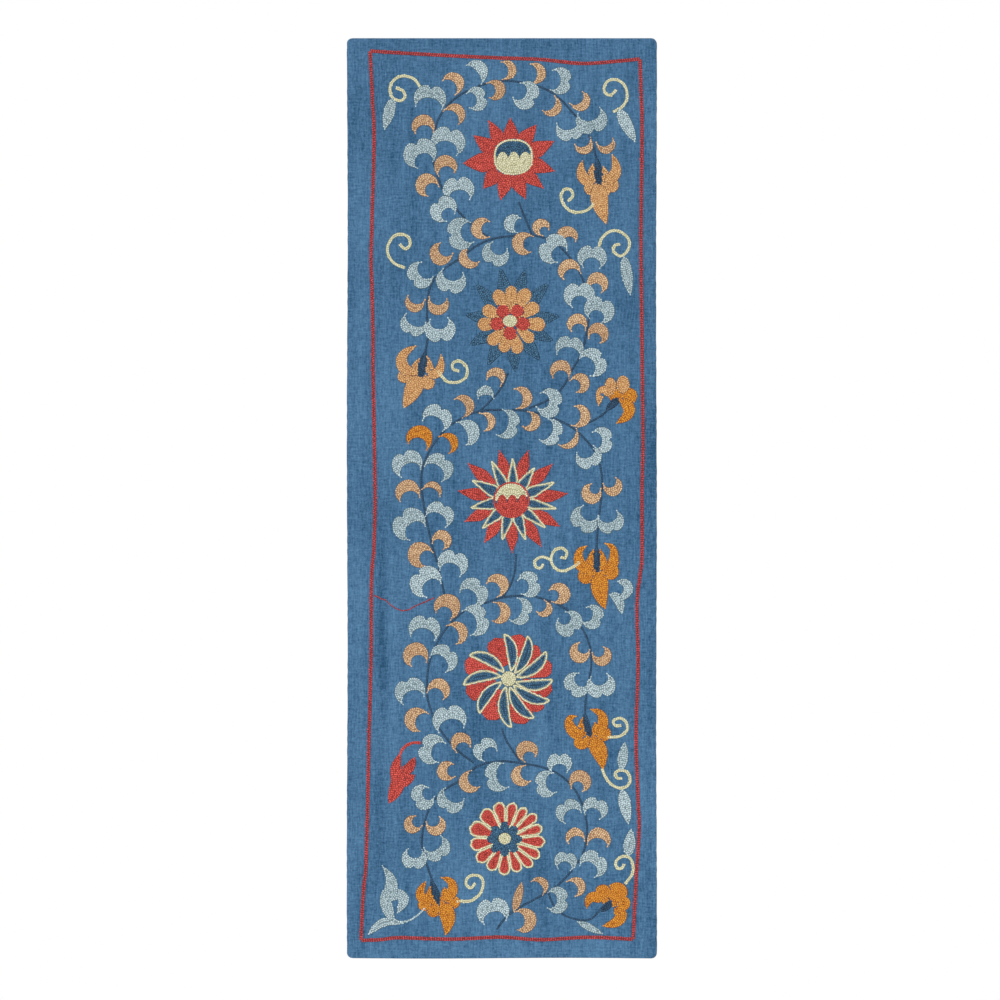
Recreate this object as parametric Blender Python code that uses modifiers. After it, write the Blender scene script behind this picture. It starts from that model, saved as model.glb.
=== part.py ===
"""Embroidered wall hanging: one length of blue cloth with raised stitched motifs.

Metres, +Z up. The origin is the middle of the top edge, and the worked face looks along -Y.
Every piece is first made flat, as it would lie on a table, and then hung: hang_depth gives
the gentle waves in which the cloth hangs, and all pieces follow the same waves.
"""
import math

import bmesh
import bpy
from mathutils import Matrix

# Real sizes
CLOTH_WIDTH = 0.500
CLOTH_LENGTH = 1.487
CLOTH_THICKNESS = 0.0015
CORNER_RADIUS = 0.009
STITCH_GAP = 0.0003
STITCH_THICKNESS = 0.0009

# Waves of the hanging cloth: the depth of each and its length
HEADING_DEPTH = 0.0619
FADE_LENGTH = 0.25
BOW_DEPTH, BOW_LENGTH = 0.0030, 1.75
RIPPLE_DEPTH, RIPPLE_LENGTH = 0.0009, 0.42
DRIFT_DEPTH, DRIFT_LENGTH = 0.0007, 0.62

# Cells of the cloth, how far its edges wander, and spacing of points along lines
CLOTH_COLUMNS, CLOTH_ROWS, CORNER_STEPS = 10, 24, 3
EDGE_WANDER = 0.0006
VINE_STEP, TENDRIL_STEP, BORDER_STEP = 16.0, 6.0, 26.0
MERGE = 0.00001
FLAT_ANGLE = math.radians(1)

# The chart gives the places of motifs as read off the photograph, in its pixels
CHART_LEFT, CHART_RIGHT, CHART_TOP = 347.2, 656.5, 38.2
UNIT = CLOTH_WIDTH / (CHART_RIGHT - CHART_LEFT)
CHART_MIDDLE = (CHART_LEFT + CHART_RIGHT) / 2

# Half widths of stitched lines, in chart units
VINE_HALF, TENDRIL_HALF, BORDER_HALF, STALK_HALF = 1.1, 1.4, 1.9, 0.9

COLOURS = {
    "cloth": (0.061, 0.168, 0.310),
    "red": (0.445, 0.045, 0.040),
    "navy": (0.035, 0.090, 0.160),
    "orange": (0.600, 0.240, 0.055),
    "cream": (0.640, 0.610, 0.400),
    "pale": (0.390, 0.480, 0.500),
}

# Leaves are arched: apricot (a), orange (o), pale with two lobes (p) or plain pale (c). Half
# widths outside and inside the middle line and depth of the notch, as shares of the reach
LEAF_KINDS = {
    "a": dict(outer=0.28, inner=0.27, notch=0.0, stations=5),
    "p": dict(outer=0.31, inner=0.24, notch=0.42, stations=6),
    "c": dict(outer=0.24, inner=0.22, notch=0.0, stations=5),
    "o": dict(outer=0.28, inner=0.27, notch=0.0, stations=5),
}
HORN_POWER = 0.75
ROOT_SHARE, ROOT_REACH = 0.1, 0.5
ROOT_OVERLAP = 0.5

# Branches: route from the base to the hanging flower, how much is left off at both ends
BRANCHES = (
    dict(
        name="branch_1",
        route=((490, 238), (478, 230), (468, 221), (458, 211), (450, 201), (443, 190),
               (437, 175), (433, 160), (433, 145), (435, 130), (440, 116), (450, 103),
               (465, 92), (485, 84), (505, 81), (525, 83), (545, 89), (560, 99), (572, 112),
               (583, 125), (590, 138), (595, 153), (598, 168)),
        trim=(33, 0)),
    dict(
        name="branch_2",
        route=((527, 409), (548, 400), (562, 388), (572, 370), (581, 354), (586, 336),
               (589, 316), (588, 297), (583, 280), (574, 263), (560, 247), (545, 238),
               (530, 235), (510, 236), (492, 239), (476, 246), (460, 258), (444, 269),
               (433, 281), (428, 296), (427, 315), (428, 335), (425, 353), (421, 372)),
        trim=(5, 4)),
    dict(
        name="branch_3",
        route=((449, 618), (446, 605), (443, 588), (438, 565), (432, 545), (427, 522),
               (423, 500), (421, 482), (424, 463), (433, 445), (446, 429), (462, 418),
               (480, 411), (505, 410), (528, 411), (550, 417), (570, 426), (586, 440),
               (597, 456), (602, 478), (601, 500), (598, 525), (596, 565)),
        trim=(24, 11)),
    dict(
        name="branch_4",
        route=((478, 765), (462, 754), (447, 739), (435, 720), (428, 700), (427, 682),
               (430, 660), (438, 641), (450, 624), (466, 610), (485, 603), (505, 597),
               (530, 596), (552, 602), (570, 612), (582, 628), (590, 647), (591, 668),
               (587, 690), (585, 712), (588, 727)),
        trim=(5, 6)),
    dict(
        name="branch_5",
        route=((497, 929), (506, 917), (522, 906), (542, 895), (560, 883), (575, 866),
               (584, 850), (587, 830), (584, 810), (575, 790), (560, 775), (542, 767),
               (520, 763), (500, 761), (478, 766), (462, 779), (444, 790), (431, 805),
               (424, 825), (422, 847), (428, 868), (437, 893)),
        trim=(0, 4)),
)

# Leaves of each branch: kind, side of the vine (-1 left, 1 right), x and y of the root horn,
# x and y of the outer horn, and reach from the line between the horns to the crown
LEAVES = {
    "branch_1": (
        ("p", -1, 455, 213, 446, 221, 23),
        ("p", 1, 449, 201, 470, 199, 24),
        ("a", -1, 439, 186, 427, 196, 20),
        ("a", 1, 438, 176, 455, 172, 19),
        ("p", -1, 433, 161, 417, 168, 27),
        ("p", 1, 434, 149, 457, 155, 26),
        ("a", -1, 434, 132, 415, 133, 18),
        ("a", 1, 443, 111, 459, 124, 15.5),
        ("p", -1, 442, 109, 416, 106, 23),
        ("p", 1, 467, 93, 470, 108, 19),
        ("a", -1, 456, 95, 443, 80, 16.5),
        ("a", 1, 487, 83, 490, 98, 17),
        ("c", -1, 482, 84, 467, 66, 13),
        ("p", 1, 521, 83, 513, 98, 23),
        ("a", -1, 503, 80, 502, 62, 14),
        ("a", 1, 555, 96, 543, 111, 14),
        ("a", -1, 531, 84, 531, 64, 15),
        ("p", -1, 551, 90, 553, 70, 20),
        ("a", -1, 570, 104, 583, 92, 15),
        ("p", 1, 579, 119, 557, 124, 20),
        ("p", -1, 578, 114, 600, 108, 23.5),
        ("a", 1, 591, 138, 575, 145, 13),
        ("a", -1, 596, 143, 613, 139, 13),
    ),
    "branch_2": (
        ("p", -1, 537, 407, 541, 393, 24),
        ("a", 1, 570, 380, 577, 392, 17),
        ("a", -1, 569, 378, 553, 377, 17.5),
        ("p", -1, 580, 357, 557, 354, 20),
        ("p", 1, 580, 358, 591, 376, 22),
        ("a", -1, 586, 330, 571, 331, 17),
        ("a", 1, 588, 338, 601, 343, 18.5),
        ("p", -1, 588, 306, 572, 307, 25),
        ("p", 1, 589, 318, 601, 323, 25),
        ("a", -1, 581, 273, 563, 279, 17.5),
        ("a", 1, 589, 290, 602, 292, 19),
        ("p", -1, 567, 250, 557, 262, 25),
        ("p", 1, 583, 267, 600, 268, 23),
        ("a", 1, 564, 247, 576, 241, 18.5),
        ("a", -1, 533, 236, 530, 252, 19.5),
        ("a", 1, 542, 236, 549, 229, 15.5),
        ("c", 1, 517, 233, 520, 218, 15),
        ("p", -1, 492, 242, 507, 249, 21.5),
        ("a", 1, 489, 237.5, 489, 221, 18),
        ("p", 1, 473, 242, 470, 222, 25),
        ("a", -1, 469, 246, 479, 262, 16.5),
        ("a", 1, 453, 254, 440, 243, 19),
        ("p", -1, 443, 269, 463, 273, 23),
        ("p", 1, 433, 277, 421, 262, 21),
        ("a", 1, 425, 300, 408, 296, 14.5),
        ("a", -1, 429, 297, 447, 299, 17),
        ("p", 1, 426, 323, 406, 314, 18),
        ("p", -1, 430, 320, 448, 318, 24),
    ),
    "branch_3": (
        ("p", -1, 441, 583, 426, 597, 26),
        ("p", 1, 440, 570, 460, 576, 23.5),
        ("a", -1, 433, 552, 424, 566, 22),
        ("a", 1, 432, 543, 444, 549, 17),
        ("p", -1, 425, 526, 409, 540, 27),
        ("p", 1, 426, 516, 446, 527, 20.5),
        ("a", -1, 420, 497, 400, 501, 19.5),
        ("a", 1, 422, 489, 440, 496, 11.5),
        ("p", -1, 421, 469, 401, 477, 23.5),
        ("p", 1, 425, 466, 442, 481, 21.5),
        ("o", -1, 427, 450, 408, 443, 21.5),
        ("o", 1, 439, 436, 450, 453, 14),
        ("p", -1, 443, 431, 423, 420, 22),
        ("c", 1, 457, 422, 467, 445, 18),
        ("a", -1, 463, 418, 455, 399, 16),
        ("a", 1, 480, 413, 485, 431, 13),
        ("p", 1, 503, 410, 497, 435, 20),
        ("a", 1, 528, 411, 523, 427, 15.5),
        ("a", -1, 517, 409, 515, 389, 16.5),
        ("p", 1, 549, 419, 540, 440, 18.5),
        ("a", -1, 572, 426, 575, 406, 17),
        ("a", 1, 577, 429, 559, 445, 11.5),
        ("p", -1, 594, 449, 593, 432, 20),
        ("p", 1, 594, 446, 577, 453, 20),
        ("a", -1, 603, 484, 616, 478, 16),
        ("a", 1, 601, 489, 591, 484, 18.5),
        ("p", -1, 599, 517, 617, 511, 20),
        ("p", 1, 598, 516, 583, 506, 23),
        ("a", -1, 501, 386, 487, 379, 15.5),
        ("c", -1, 494, 398, 478, 398, 12.5),
    ),
    "branch_4": (
        ("a", 1, 456, 752, 470, 746, 17),
        ("p", -1, 445, 743, 438, 762, 23.5),
        ("p", 1, 439, 732, 464, 727, 25),
        ("a", -1, 428, 713, 419, 731, 19.5),
        ("p", -1, 424, 696, 403, 704, 23),
        ("a", 1, 427, 692, 444, 699, 18),
        ("a", -1, 427, 662, 411, 666, 22),
        ("p", 1, 430, 657, 446, 672, 21.5),
        ("p", -1, 435, 640, 411, 636, 23),
        ("a", 1, 447, 625, 457, 644, 16),
        ("a", -1, 451, 620, 436, 612, 23),
        ("p", 1, 463, 611, 471, 635, 22.5),
        ("p", -1, 474, 606, 460, 592, 23),
        ("a", 1, 494, 602, 493, 621, 17),
        ("a", -1, 498, 597, 487, 583, 18.5),
        ("p", -1, 522, 594, 518, 580, 21),
        ("p", 1, 518, 598, 510, 620, 18.5),
        ("a", -1, 552, 602, 550, 590, 19.5),
        ("a", 1, 545, 600, 537, 612, 12.5),
        ("p", -1, 582, 621, 587, 607, 19.5),
        ("p", 1, 566, 612, 558, 619, 23),
        ("a", -1, 592, 653, 604, 647, 17),
        ("a", 1, 590, 650, 579, 643, 18),
        ("p", -1, 591, 677, 607, 674, 23),
        ("p", 1, 588, 683, 578, 673, 21),
    ),
    "branch_5": (
        ("p", -1, 506, 920, 484, 924, 25),
        ("a", 1, 515, 911, 518, 930, 20),
        ("a", -1, 543, 895, 532, 881, 12),
        ("p", 1, 548, 892, 548, 908, 21),
        ("a", 1, 567, 881, 576, 896, 14.5),
        ("p", -1, 571, 870, 558, 868, 18),
        ("p", 1, 580, 865, 595, 877, 22),
        ("a", -1, 585, 840, 568, 843, 14),
        ("a", 1, 587, 844, 608, 846, 17.5),
        ("p", -1, 581, 812, 565, 823, 19.5),
        ("p", 1, 585, 814, 600, 819, 20),
        ("a", 1, 571, 788, 583, 791, 20),
        ("p", -1, 553, 773, 556, 792, 20),
        ("p", 1, 552, 772, 567, 772, 19.5),
        ("a", 1, 524, 762, 536, 756, 19),
        ("a", -1, 525, 765, 530, 781, 17),
        ("p", 1, 484, 761, 497, 750, 19),
        ("p", -1, 503, 763, 508, 787, 21),
        ("a", 1, 455, 777, 453, 764, 17),
        ("a", -1, 471, 770, 479, 787, 17),
        ("p", 1, 434, 797, 428, 787, 21),
        ("p", -1, 445, 788, 464, 799, 20),
        ("a", 1, 422, 826, 415, 816, 15.5),
        ("a", -1, 426, 822, 440, 817, 16.5),
        ("p", 1, 422, 850, 408, 849, 20),
        ("p", -1, 424, 848, 441, 836, 20),
    ),
}

# Thin stalks from a medallion or a side shoot, each part of the branch that it leaves
STALKS = (
    dict(branch="branch_2", route=((519, 202), (523, 213), (528, 225), (532, 235))),
    dict(branch="branch_3", route=((508, 373), (503, 385), (494, 397), (480, 411))),
    dict(branch="branch_3", route=((576, 428), (590, 422), (602, 415), (614, 404))),
    dict(branch="branch_4", route=((516, 554), (515, 570), (511, 584), (503, 597))),
    dict(branch="branch_5", route=((502, 729), (506, 740), (513, 751), (521, 763))),
    dict(branch="branch_5", route=((548, 892), (556, 909), (572, 918), (590, 919), (602, 907))),
)

# Flowers: throat where the stem ends, growth direction as a step on the chart, size, shape
FLOWERS = (
    dict(name="flower_1", throat=(599, 184), grow=(7, 62), size=1.00, shape="hanging"),
    dict(name="flower_2", throat=(418, 379), grow=(-23, 61), size=0.98, shape="hanging"),
    dict(name="flower_3", throat=(597, 571), grow=(12, 61), size=0.93, shape="hanging"),
    dict(name="flower_4", throat=(589, 735), grow=(18, 54), size=0.88, shape="hanging"),
    dict(name="flower_5", throat=(439, 902), grow=(12, 53), size=0.86, shape="hanging"),
    dict(name="flower_6", throat=(606, 903), grow=(10, -10), size=1.00, shape="open"),
    dict(name="flower_7", throat=(617.5, 401), grow=(10, -10), size=1.00, shape="open"),
)
# Half outlines, across and forward of the throat, from the throat round to the far end
FLOWER_SHAPES = {
    "hanging": ((0.0, 0), (2.8, -9), (3.4, -15), (6, -10.5), (9, -12.5), (12.5, -28),
                (18.5, -20), (21, -11.5), (16.5, -3), (19, 3), (17.5, 8), (10.5, 10),
                (7.5, 17), (5.5, 27), (2.5, 35), (0, 39)),
    "open": ((0.0, 2), (2.8, -7), (5, -11), (8, -5), (12, -8), (12.5, -17), (19, -13),
             (21, -5), (17, 2), (20.5, 8), (17, 14), (11, 12.5), (11, 20), (6, 24), (0, 21)),
}

# Medallions: heart as half width, half height and offset, angles of the petal tips, rim
# radii of one repeat from tip to tip, how far tips lean, and heights of heart and petals
MEDALLIONS = (
    dict(name="medallion_1", colour="red", centre=(510, 160), heart=(19.8, 17.9), shift=(3.6, -3.0),
         tips=(90, 53, 23, -14, -40, -68, -104, -133, -176, -214, -242),
         rim=(43, 34, 29, 34), lean=0, heights=(0.0016, 0.0012)),
    dict(name="medallion_2", colour="orange", centre=(511, 322), heart=(18.5, 18.5), shift=(0, 0),
         tips=(101, 75, 46, 7, -24, -53, -85, -118, -151, -189, -227),
         rim=(49, 37, 33, 37), lean=0, heights=(0.0015, 0.0012)),
    dict(name="medallion_3", colour="red", centre=(512, 500.5), heart=(18.4, 18.4), shift=(0, 0),
         tips=(104, 72, 42, 7, -28, -57, -90, -123, -156, -190, -220),
         rim=(53, 34, 44, 34), lean=0, heights=(0.0016, 0.0012)),
    dict(name="medallion_4", colour="navy", centre=(508.7, 678.7), heart=(7.4, 7.4), shift=(0, 0),
         tips=(109, 75, 48, 18, -15, -41, -70, -118, -162, -202),
         rim=(45, 39, 45, 41), lean=4, heights=(0.0015, 0.0012)),
    dict(name="medallion_5", colour="red", centre=(506, 839), heart=(18, 18), shift=(0, 0),
         tips=(102, 78, 58, 39, 18, -4, -29, -46, -69, -93, -118, -143, -170, -198, -233),
         rim=(38.5, 37.5, 33, 37.5), lean=0, heights=(0.0013, 0.0012)),
)
RIM_HEIGHT = 0.0007
BODY_SHARE = 0.62

# Tendrils: route from the root to the curled end, and a lance leaf as root, tip, half width
TENDRILS = (
    dict(name="tendril_1", route=((420, 87), (414, 79), (403, 76), (394, 80), (390, 88),
                                  (392, 97), (400, 101), (405, 97), (403, 91), (396, 88)),
         leaf=((393, 98), (385, 127), 5.6)),
    dict(name="tendril_2", route=((613, 112), (622, 107), (627, 98), (625, 86), (617, 80),
                                  (608, 81), (604, 88), (606, 94), (611, 95), (616, 90)),
         leaf=((618.5, 109), (634, 139), 6.2)),
    dict(name="tendril_3", route=((590.5, 207.5), (585, 211), (573, 212), (564, 205), (561, 196),
                                  (565, 189), (571, 190), (573, 196), (568, 201)), leaf=None),
    dict(name="tendril_4", route=((599, 247), (602, 238), (611, 231), (621, 232), (629, 240),
                                  (628, 250), (621, 256), (614, 252), (614, 246), (620, 244)),
         leaf=((624, 256), (630, 292), 5.6)),
    dict(name="tendril_5", route=((405, 268), (394, 263), (388, 254), (388, 245), (394, 236),
                                  (402, 234), (409, 238), (410, 245), (405, 249), (400, 244)),
         leaf=None),
    dict(name="tendril_6", route=((442.5, 377), (448, 382), (458, 382), (466, 377), (467, 368),
                                  (460, 361), (453, 363), (453, 369), (459, 371)), leaf=None),
    dict(name="tendril_7", route=((573, 566), (563, 571), (555, 568), (551, 560), (554, 551),
                                  (561, 548), (567, 552), (565, 558), (561, 557)), leaf=None),
    dict(name="tendril_8", route=((612, 737), (620, 736), (627, 730), (626, 722), (620, 718),
                                  (613, 721), (616, 726), (621, 725)), leaf=None),
    dict(name="tendril_9", route=((602, 768), (606, 778), (614, 786), (623, 788), (630, 782),
                                  (628, 773), (621, 770), (615, 773), (617, 778), (622, 778)),
         leaf=((622, 789), (628, 821), 6.2)),
    dict(name="tendril_10", route=((462, 901), (470, 901), (479, 895), (483, 886), (482, 878),
                                   (476, 875), (468, 877), (466, 884), (471, 888), (475, 883)),
         leaf=None),
    dict(name="tendril_11", route=((625, 884), (632, 874), (633, 866), (630, 858), (623, 856),
                                   (616, 861), (617, 868), (622, 868), (624, 864)),
         leaf=((628, 856), (631, 831), 6.0)),
)
# Small motifs, each of a few blades: route of the middle line and half width
BLADES = (
    dict(motif="red_bud", route=((402, 753), (397, 768), (397, 786), (388, 802)), half=7.6),
    dict(motif="red_bud", route=((396, 769), (406, 769), (414, 760)), half=4.6),
    dict(motif="red_bud", route=((396, 781), (405, 779), (413, 774)), half=4.6),
    dict(motif="corner_spray", route=((383, 870), (391, 884), (386, 900), (393, 919)), half=6.0),
    dict(motif="corner_spray", route=((387, 900), (397, 894), (402, 901), (401, 910)), half=4.6),
    dict(motif="corner_spray", route=((370, 932), (384, 922), (403, 923)), half=4.2),
    dict(motif="loose_leaf", route=((617, 581), (627, 584), (627, 593), (617, 601)), half=4.8),
    dict(motif="loose_leaf", route=((609, 594), (618, 599), (622, 614)), half=5.0),
    dict(motif="low_leaf", route=((577, 921), (603, 934)), half=3.6),
    dict(motif="branch_5", route=((514, 912), (522, 882)), half=4.4),
    dict(motif="tendril_9", route=((622, 769), (625, 743)), half=4.8),
)
SMALL_MOTIFS = (("red_bud", "red"), ("corner_spray", "pale"), ("loose_leaf", "pale"),
                ("low_leaf", "pale"))
# Thin stems of the small motifs, and a second curl out of the side of tendril_7
STEMS = (
    dict(motif="red_bud", half=1.4,
         route=((420, 743), (414, 742), (407, 744), (402, 750), (400, 758))),
    dict(motif="corner_spray", half=0.9, route=((421, 912), (415, 917), (407, 921), (396, 922))),
    dict(motif="tendril_7", half=1.4,
         route=((552, 561), (547, 558), (541, 557), (535, 561), (536, 567), (541, 568), (543, 564))),
)

# The red border, clockwise from the top left corner
BORDER = ((370, 51), (392, 52.5), (455, 56), (500, 58), (540, 59.5), (582, 63.5), (620, 61),
          (640, 59), (641, 90), (642, 130), (641, 240), (642, 340), (643, 440), (642, 490),
          (642, 555), (640, 575), (637.5, 595), (637, 620), (638, 660), (637, 700), (636, 740),
          (638, 800), (639, 830), (636, 880), (634.5, 910), (633, 939), (590, 937), (540, 939.5),
          (500, 937), (450, 939), (400, 937.5), (380, 939.5), (361, 940), (363.5, 890),
          (366, 865), (368, 790), (369, 740), (371, 660), (371.5, 580), (374, 545), (375, 490),
          (373, 370), (373, 340), (372, 290), (371, 260), (372, 220), (374, 140), (372.5, 100))


def clear_scene():
    for thing in list(bpy.data.objects):
        bpy.data.objects.remove(thing)


def make_collection(name, hidden=False):
    group = bpy.data.collections.new(name)
    group.hide_render = hidden
    bpy.context.scene.collection.children.link(group)
    return group


def make_material(name):
    material = bpy.data.materials.new(name)
    material.use_nodes = True
    shader = material.node_tree.nodes["Principled BSDF"]
    shader.inputs["Base Color"].default_value = (*COLOURS[name], 1.0)
    shader.inputs["Roughness"].default_value = 0.85
    shader.inputs["Metallic"].default_value = 0.0
    material.diffuse_color = (*COLOURS[name], 1.0)
    return material


def soft_step(share):
    share = min(max(share, 0.0), 1.0)
    return share * share * (3 - 2 * share)


def hang_depth(x, z):
    """How far the hung cloth stands back (+) or forward (-) of its heading, at x and z."""
    down = -z
    fade = soft_step((down - HEADING_DEPTH) / FADE_LENGTH)
    bow = BOW_DEPTH * math.sin(2 * math.pi * down / BOW_LENGTH)
    turn = 2 * math.pi * x / RIPPLE_LENGTH + 0.6 + 0.7 * math.sin(2 * math.pi * down / 1.1)
    ripple = RIPPLE_DEPTH * math.sin(turn) * (0.5 + 0.5 * down / CLOTH_LENGTH)
    drift = DRIFT_DEPTH * math.sin(2 * math.pi * down / DRIFT_LENGTH + 5.0 * x)
    return fade * (bow + ripple + drift)


def hang(mesh):
    """Gives a flat, upright mesh the waves of the hanging cloth."""
    for vertex in mesh.vertices:
        vertex.co.y += hang_depth(vertex.co.x, vertex.co.z)


def metres(place):
    """A place on the chart as x and z."""
    return (place[0] - CHART_MIDDLE) * UNIT, (CHART_TOP - place[1]) * UNIT


def curved(points, step):
    """A smooth line through the points, with a point about every step."""
    ends = (points[0], *points, points[-1])
    line = []
    for before, start, end, after in zip(ends, ends[1:], ends[2:], ends[3:]):
        parts = max(1, round(math.dist(start, end) / step))
        for part in range(parts):
            t = part / parts
            weights = (-t + 2 * t**2 - t**3, 2 - 5 * t**2 + 3 * t**3,
                       t + 4 * t**2 - 3 * t**3, t**3 - t**2)
            corners = (before, start, end, after)
            line.append(tuple(
                0.5 * sum(w * corner[axis] for w, corner in zip(weights, corners))
                for axis in (0, 1)))
    line.append(tuple(points[-1]))
    return line


def lengths(line):
    """Distance of each point along the line."""
    so_far = [0.0]
    for start, end in zip(line, line[1:]):
        so_far.append(so_far[-1] + math.dist(start, end))
    return so_far


def place_along(line, distance):
    """The place and the growth direction (an angle) at a distance along a line."""
    reached = lengths(line)
    index = max(i for i, length in enumerate(reached[:-1]) if length <= distance or i == 0)
    start, end = line[index], line[index + 1]
    share = (distance - reached[index]) / (reached[index + 1] - reached[index])
    place = tuple(a + share * (b - a) for a, b in zip(start, end))
    return place, math.atan2(end[1] - start[1], end[0] - start[0])


def evenly(line, step, trim=(0, 0)):
    """The line again, with its ends left off by trim and points about a step apart."""
    whole = lengths(line)[-1] - sum(trim)
    parts = max(2, round(whole / step))
    return [place_along(line, trim[0] + whole * part / parts)[0] for part in range(parts + 1)]


def nearest_place(lines, place, beyond):
    """The nearest place on any of the lines, and a little further the same way."""
    best = None
    for line in lines:
        for start, end in zip(line, line[1:]):
            run = (end[0] - start[0], end[1] - start[1])
            share = ((place[0] - start[0]) * run[0] + (place[1] - start[1]) * run[1])
            share = min(max(share / (run[0]**2 + run[1]**2), 0.0), 1.0)
            near = (start[0] + share * run[0], start[1] + share * run[1])
            if best is None or math.dist(near, place) < math.dist(best, place):
                best = near
    gap = max(math.dist(best, place), 0.01)
    return tuple(b + beyond * (b - a) / gap for a, b in zip(place, best))


def band(line, half):
    """The closed outline of a line of even width."""
    sides = ([], [])
    for index, place in enumerate(line):
        start, end = line[max(index - 1, 0)], line[min(index + 1, len(line) - 1)]
        angle = math.atan2(end[1] - start[1], end[0] - start[0]) + math.pi / 2
        for side, sign in zip(sides, (1, -1)):
            side.append((place[0] + sign * half * math.cos(angle),
                         place[1] + sign * half * math.sin(angle)))
    return sides[0] + sides[1][::-1]


def blade(route, half, stations=5):
    """The outline of a leaf with a bent middle line, pointed at both ends."""
    line = curved(route, 2)
    whole = lengths(line)[-1]
    sides = ([], [])
    for station in range(1, stations):
        share = station / stations
        place, angle = place_along(line, whole * share)
        width = half * math.sin(math.pi * share**0.9) ** 0.7
        for side, sign in zip(sides, (1, -1)):
            side.append((place[0] - sign * width * math.sin(angle),
                         place[1] + sign * width * math.cos(angle)))
    return [line[0], *sides[0], line[-1], *sides[1][::-1]]


def arched_leaf(kind, side, root, horn, reach):
    """The outline of an arched leaf that stands on two horns."""
    shape = LEAF_KINDS[kind]
    chord = math.dist(root, horn)
    rise = reach * (1 - shape["outer"])
    heading = math.atan2(horn[1] - root[1], horn[0] - root[0])
    apex = heading - side * math.pi / 2
    radius = (chord**2 / 4 + rise**2) / (2 * rise)
    spread = math.acos((radius - rise) / radius)
    middle = ((root[0] + horn[0]) / 2 + (rise - radius) * math.cos(apex),
              (root[1] + horn[1]) / 2 + (rise - radius) * math.sin(apex))
    outer, inner = [], []
    for station in range(1, shape["stations"]):
        share = station / shape["stations"]
        angle = apex - side * spread * (1 - 2 * share)
        fullness = math.sin(math.pi * share) ** HORN_POWER
        slim = ROOT_SHARE + (1 - ROOT_SHARE) * soft_step(share / ROOT_REACH)
        notch = 1 - shape["notch"] * math.exp(-((share - 0.5) / 0.06) ** 2)
        far = radius + reach * shape["outer"] * fullness * slim * notch
        near = radius - reach * shape["inner"] * fullness
        for outline, length in ((outer, far), (inner, near)):
            outline.append((middle[0] + length * math.cos(angle),
                            middle[1] + length * math.sin(angle)))
    return [root, *outer, horn, *inner[::-1]]


def flower_outline(flower):
    half = FLOWER_SHAPES[flower["shape"]]
    across_forward = [*half, *((-u, v) for u, v in half[-2:0:-1])]
    growth = math.atan2(flower["grow"][1], flower["grow"][0])
    forward = (math.cos(growth), math.sin(growth))
    size = flower["size"]
    return [(flower["throat"][0] + size * (v * forward[0] - u * forward[1]),
             flower["throat"][1] + size * (v * forward[1] + u * forward[0]))
            for u, v in across_forward]


def flat_piece(name, outline):
    """A flat upright plate with this outline, in front of the cloth."""
    drawing = bpy.data.curves.new(name, "CURVE")
    drawing.dimensions = "2D"
    drawing.fill_mode = "BOTH"
    drawing.extrude = STITCH_THICKNESS / 2
    spline = drawing.splines.new("POLY")
    spline.points.add(len(outline) - 1)
    for point, place in zip(spline.points, outline):
        x, z = metres(place)
        point.co = (x, z, 0, 1)
    spline.use_cyclic_u = True
    drawn = bpy.data.objects.new(name, drawing)
    bpy.context.scene.collection.objects.link(drawn)
    bpy.context.view_layer.update()
    graph = bpy.context.evaluated_depsgraph_get()
    mesh = bpy.data.meshes.new_from_object(drawn.evaluated_get(graph))
    bpy.data.objects.remove(drawn)
    front = -(CLOTH_THICKNESS / 2 + STITCH_GAP + STITCH_THICKNESS / 2)
    mesh.transform(Matrix.Translation((0, front, 0)) @ Matrix.Rotation(math.pi / 2, 4, "X"))
    cage = bmesh.new()
    cage.from_mesh(mesh)
    bmesh.ops.remove_doubles(cage, verts=cage.verts, dist=MERGE)
    bmesh.ops.recalc_face_normals(cage, faces=cage.faces)
    flat_edges = [edge for edge in cage.edges if edge.calc_face_angle() < FLAT_ANGLE]
    bmesh.ops.dissolve_limit(cage, angle_limit=FLAT_ANGLE, verts=[], edges=flat_edges)
    cage.to_mesh(mesh)
    cage.free()
    return mesh


def add_object(name, mesh, material, group):
    mesh.name = name
    mesh.materials.clear()
    mesh.materials.append(material)
    made = bpy.data.objects.new(name, mesh)
    group.objects.link(made)
    return made


def add_hung(name, mesh, material):
    hang(mesh)
    return add_object(name, mesh, material, pieces)


def joined(name, meshes):
    """One mesh from several flat plates that overlap."""
    base = add_object(name, meshes[0], materials["navy"], pieces)
    helpers = []
    for number, mesh in enumerate(meshes[1:]):
        helper = add_object(f"{name}_join_{number}", mesh, materials["navy"], joins)
        helper.display_type = "WIRE"
        join = base.modifiers.new("join", "BOOLEAN")
        join.operation = "UNION"
        join.solver = "MANIFOLD"
        join.object = helper
        helpers.append(helper)
    bpy.context.view_layer.update()
    graph = bpy.context.evaluated_depsgraph_get()
    mesh = bpy.data.meshes.new_from_object(base.evaluated_get(graph))
    for helper in (*helpers, base):
        bpy.data.objects.remove(helper)
    cage = bmesh.new()
    cage.from_mesh(mesh)
    bmesh.ops.triangulate(cage, faces=cage.faces, ngon_method="BEAUTY")
    cage.to_mesh(mesh)
    cage.free()
    return mesh


def wandered(x, z):
    """The hand-finished edge: straight sides that wander by a fraction of a millimetre."""
    edge_x = abs(x) / (CLOTH_WIDTH / 2)
    edge_z = abs(z + CLOTH_LENGTH / 2) / (CLOTH_LENGTH / 2)
    x += EDGE_WANDER * edge_x**4 * math.sin(9.0 * z + 2.0 * math.copysign(1, x))
    z += EDGE_WANDER * edge_z**8 * math.sin(14.0 * x) * (z < -CLOTH_LENGTH / 2)
    return x, z


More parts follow.
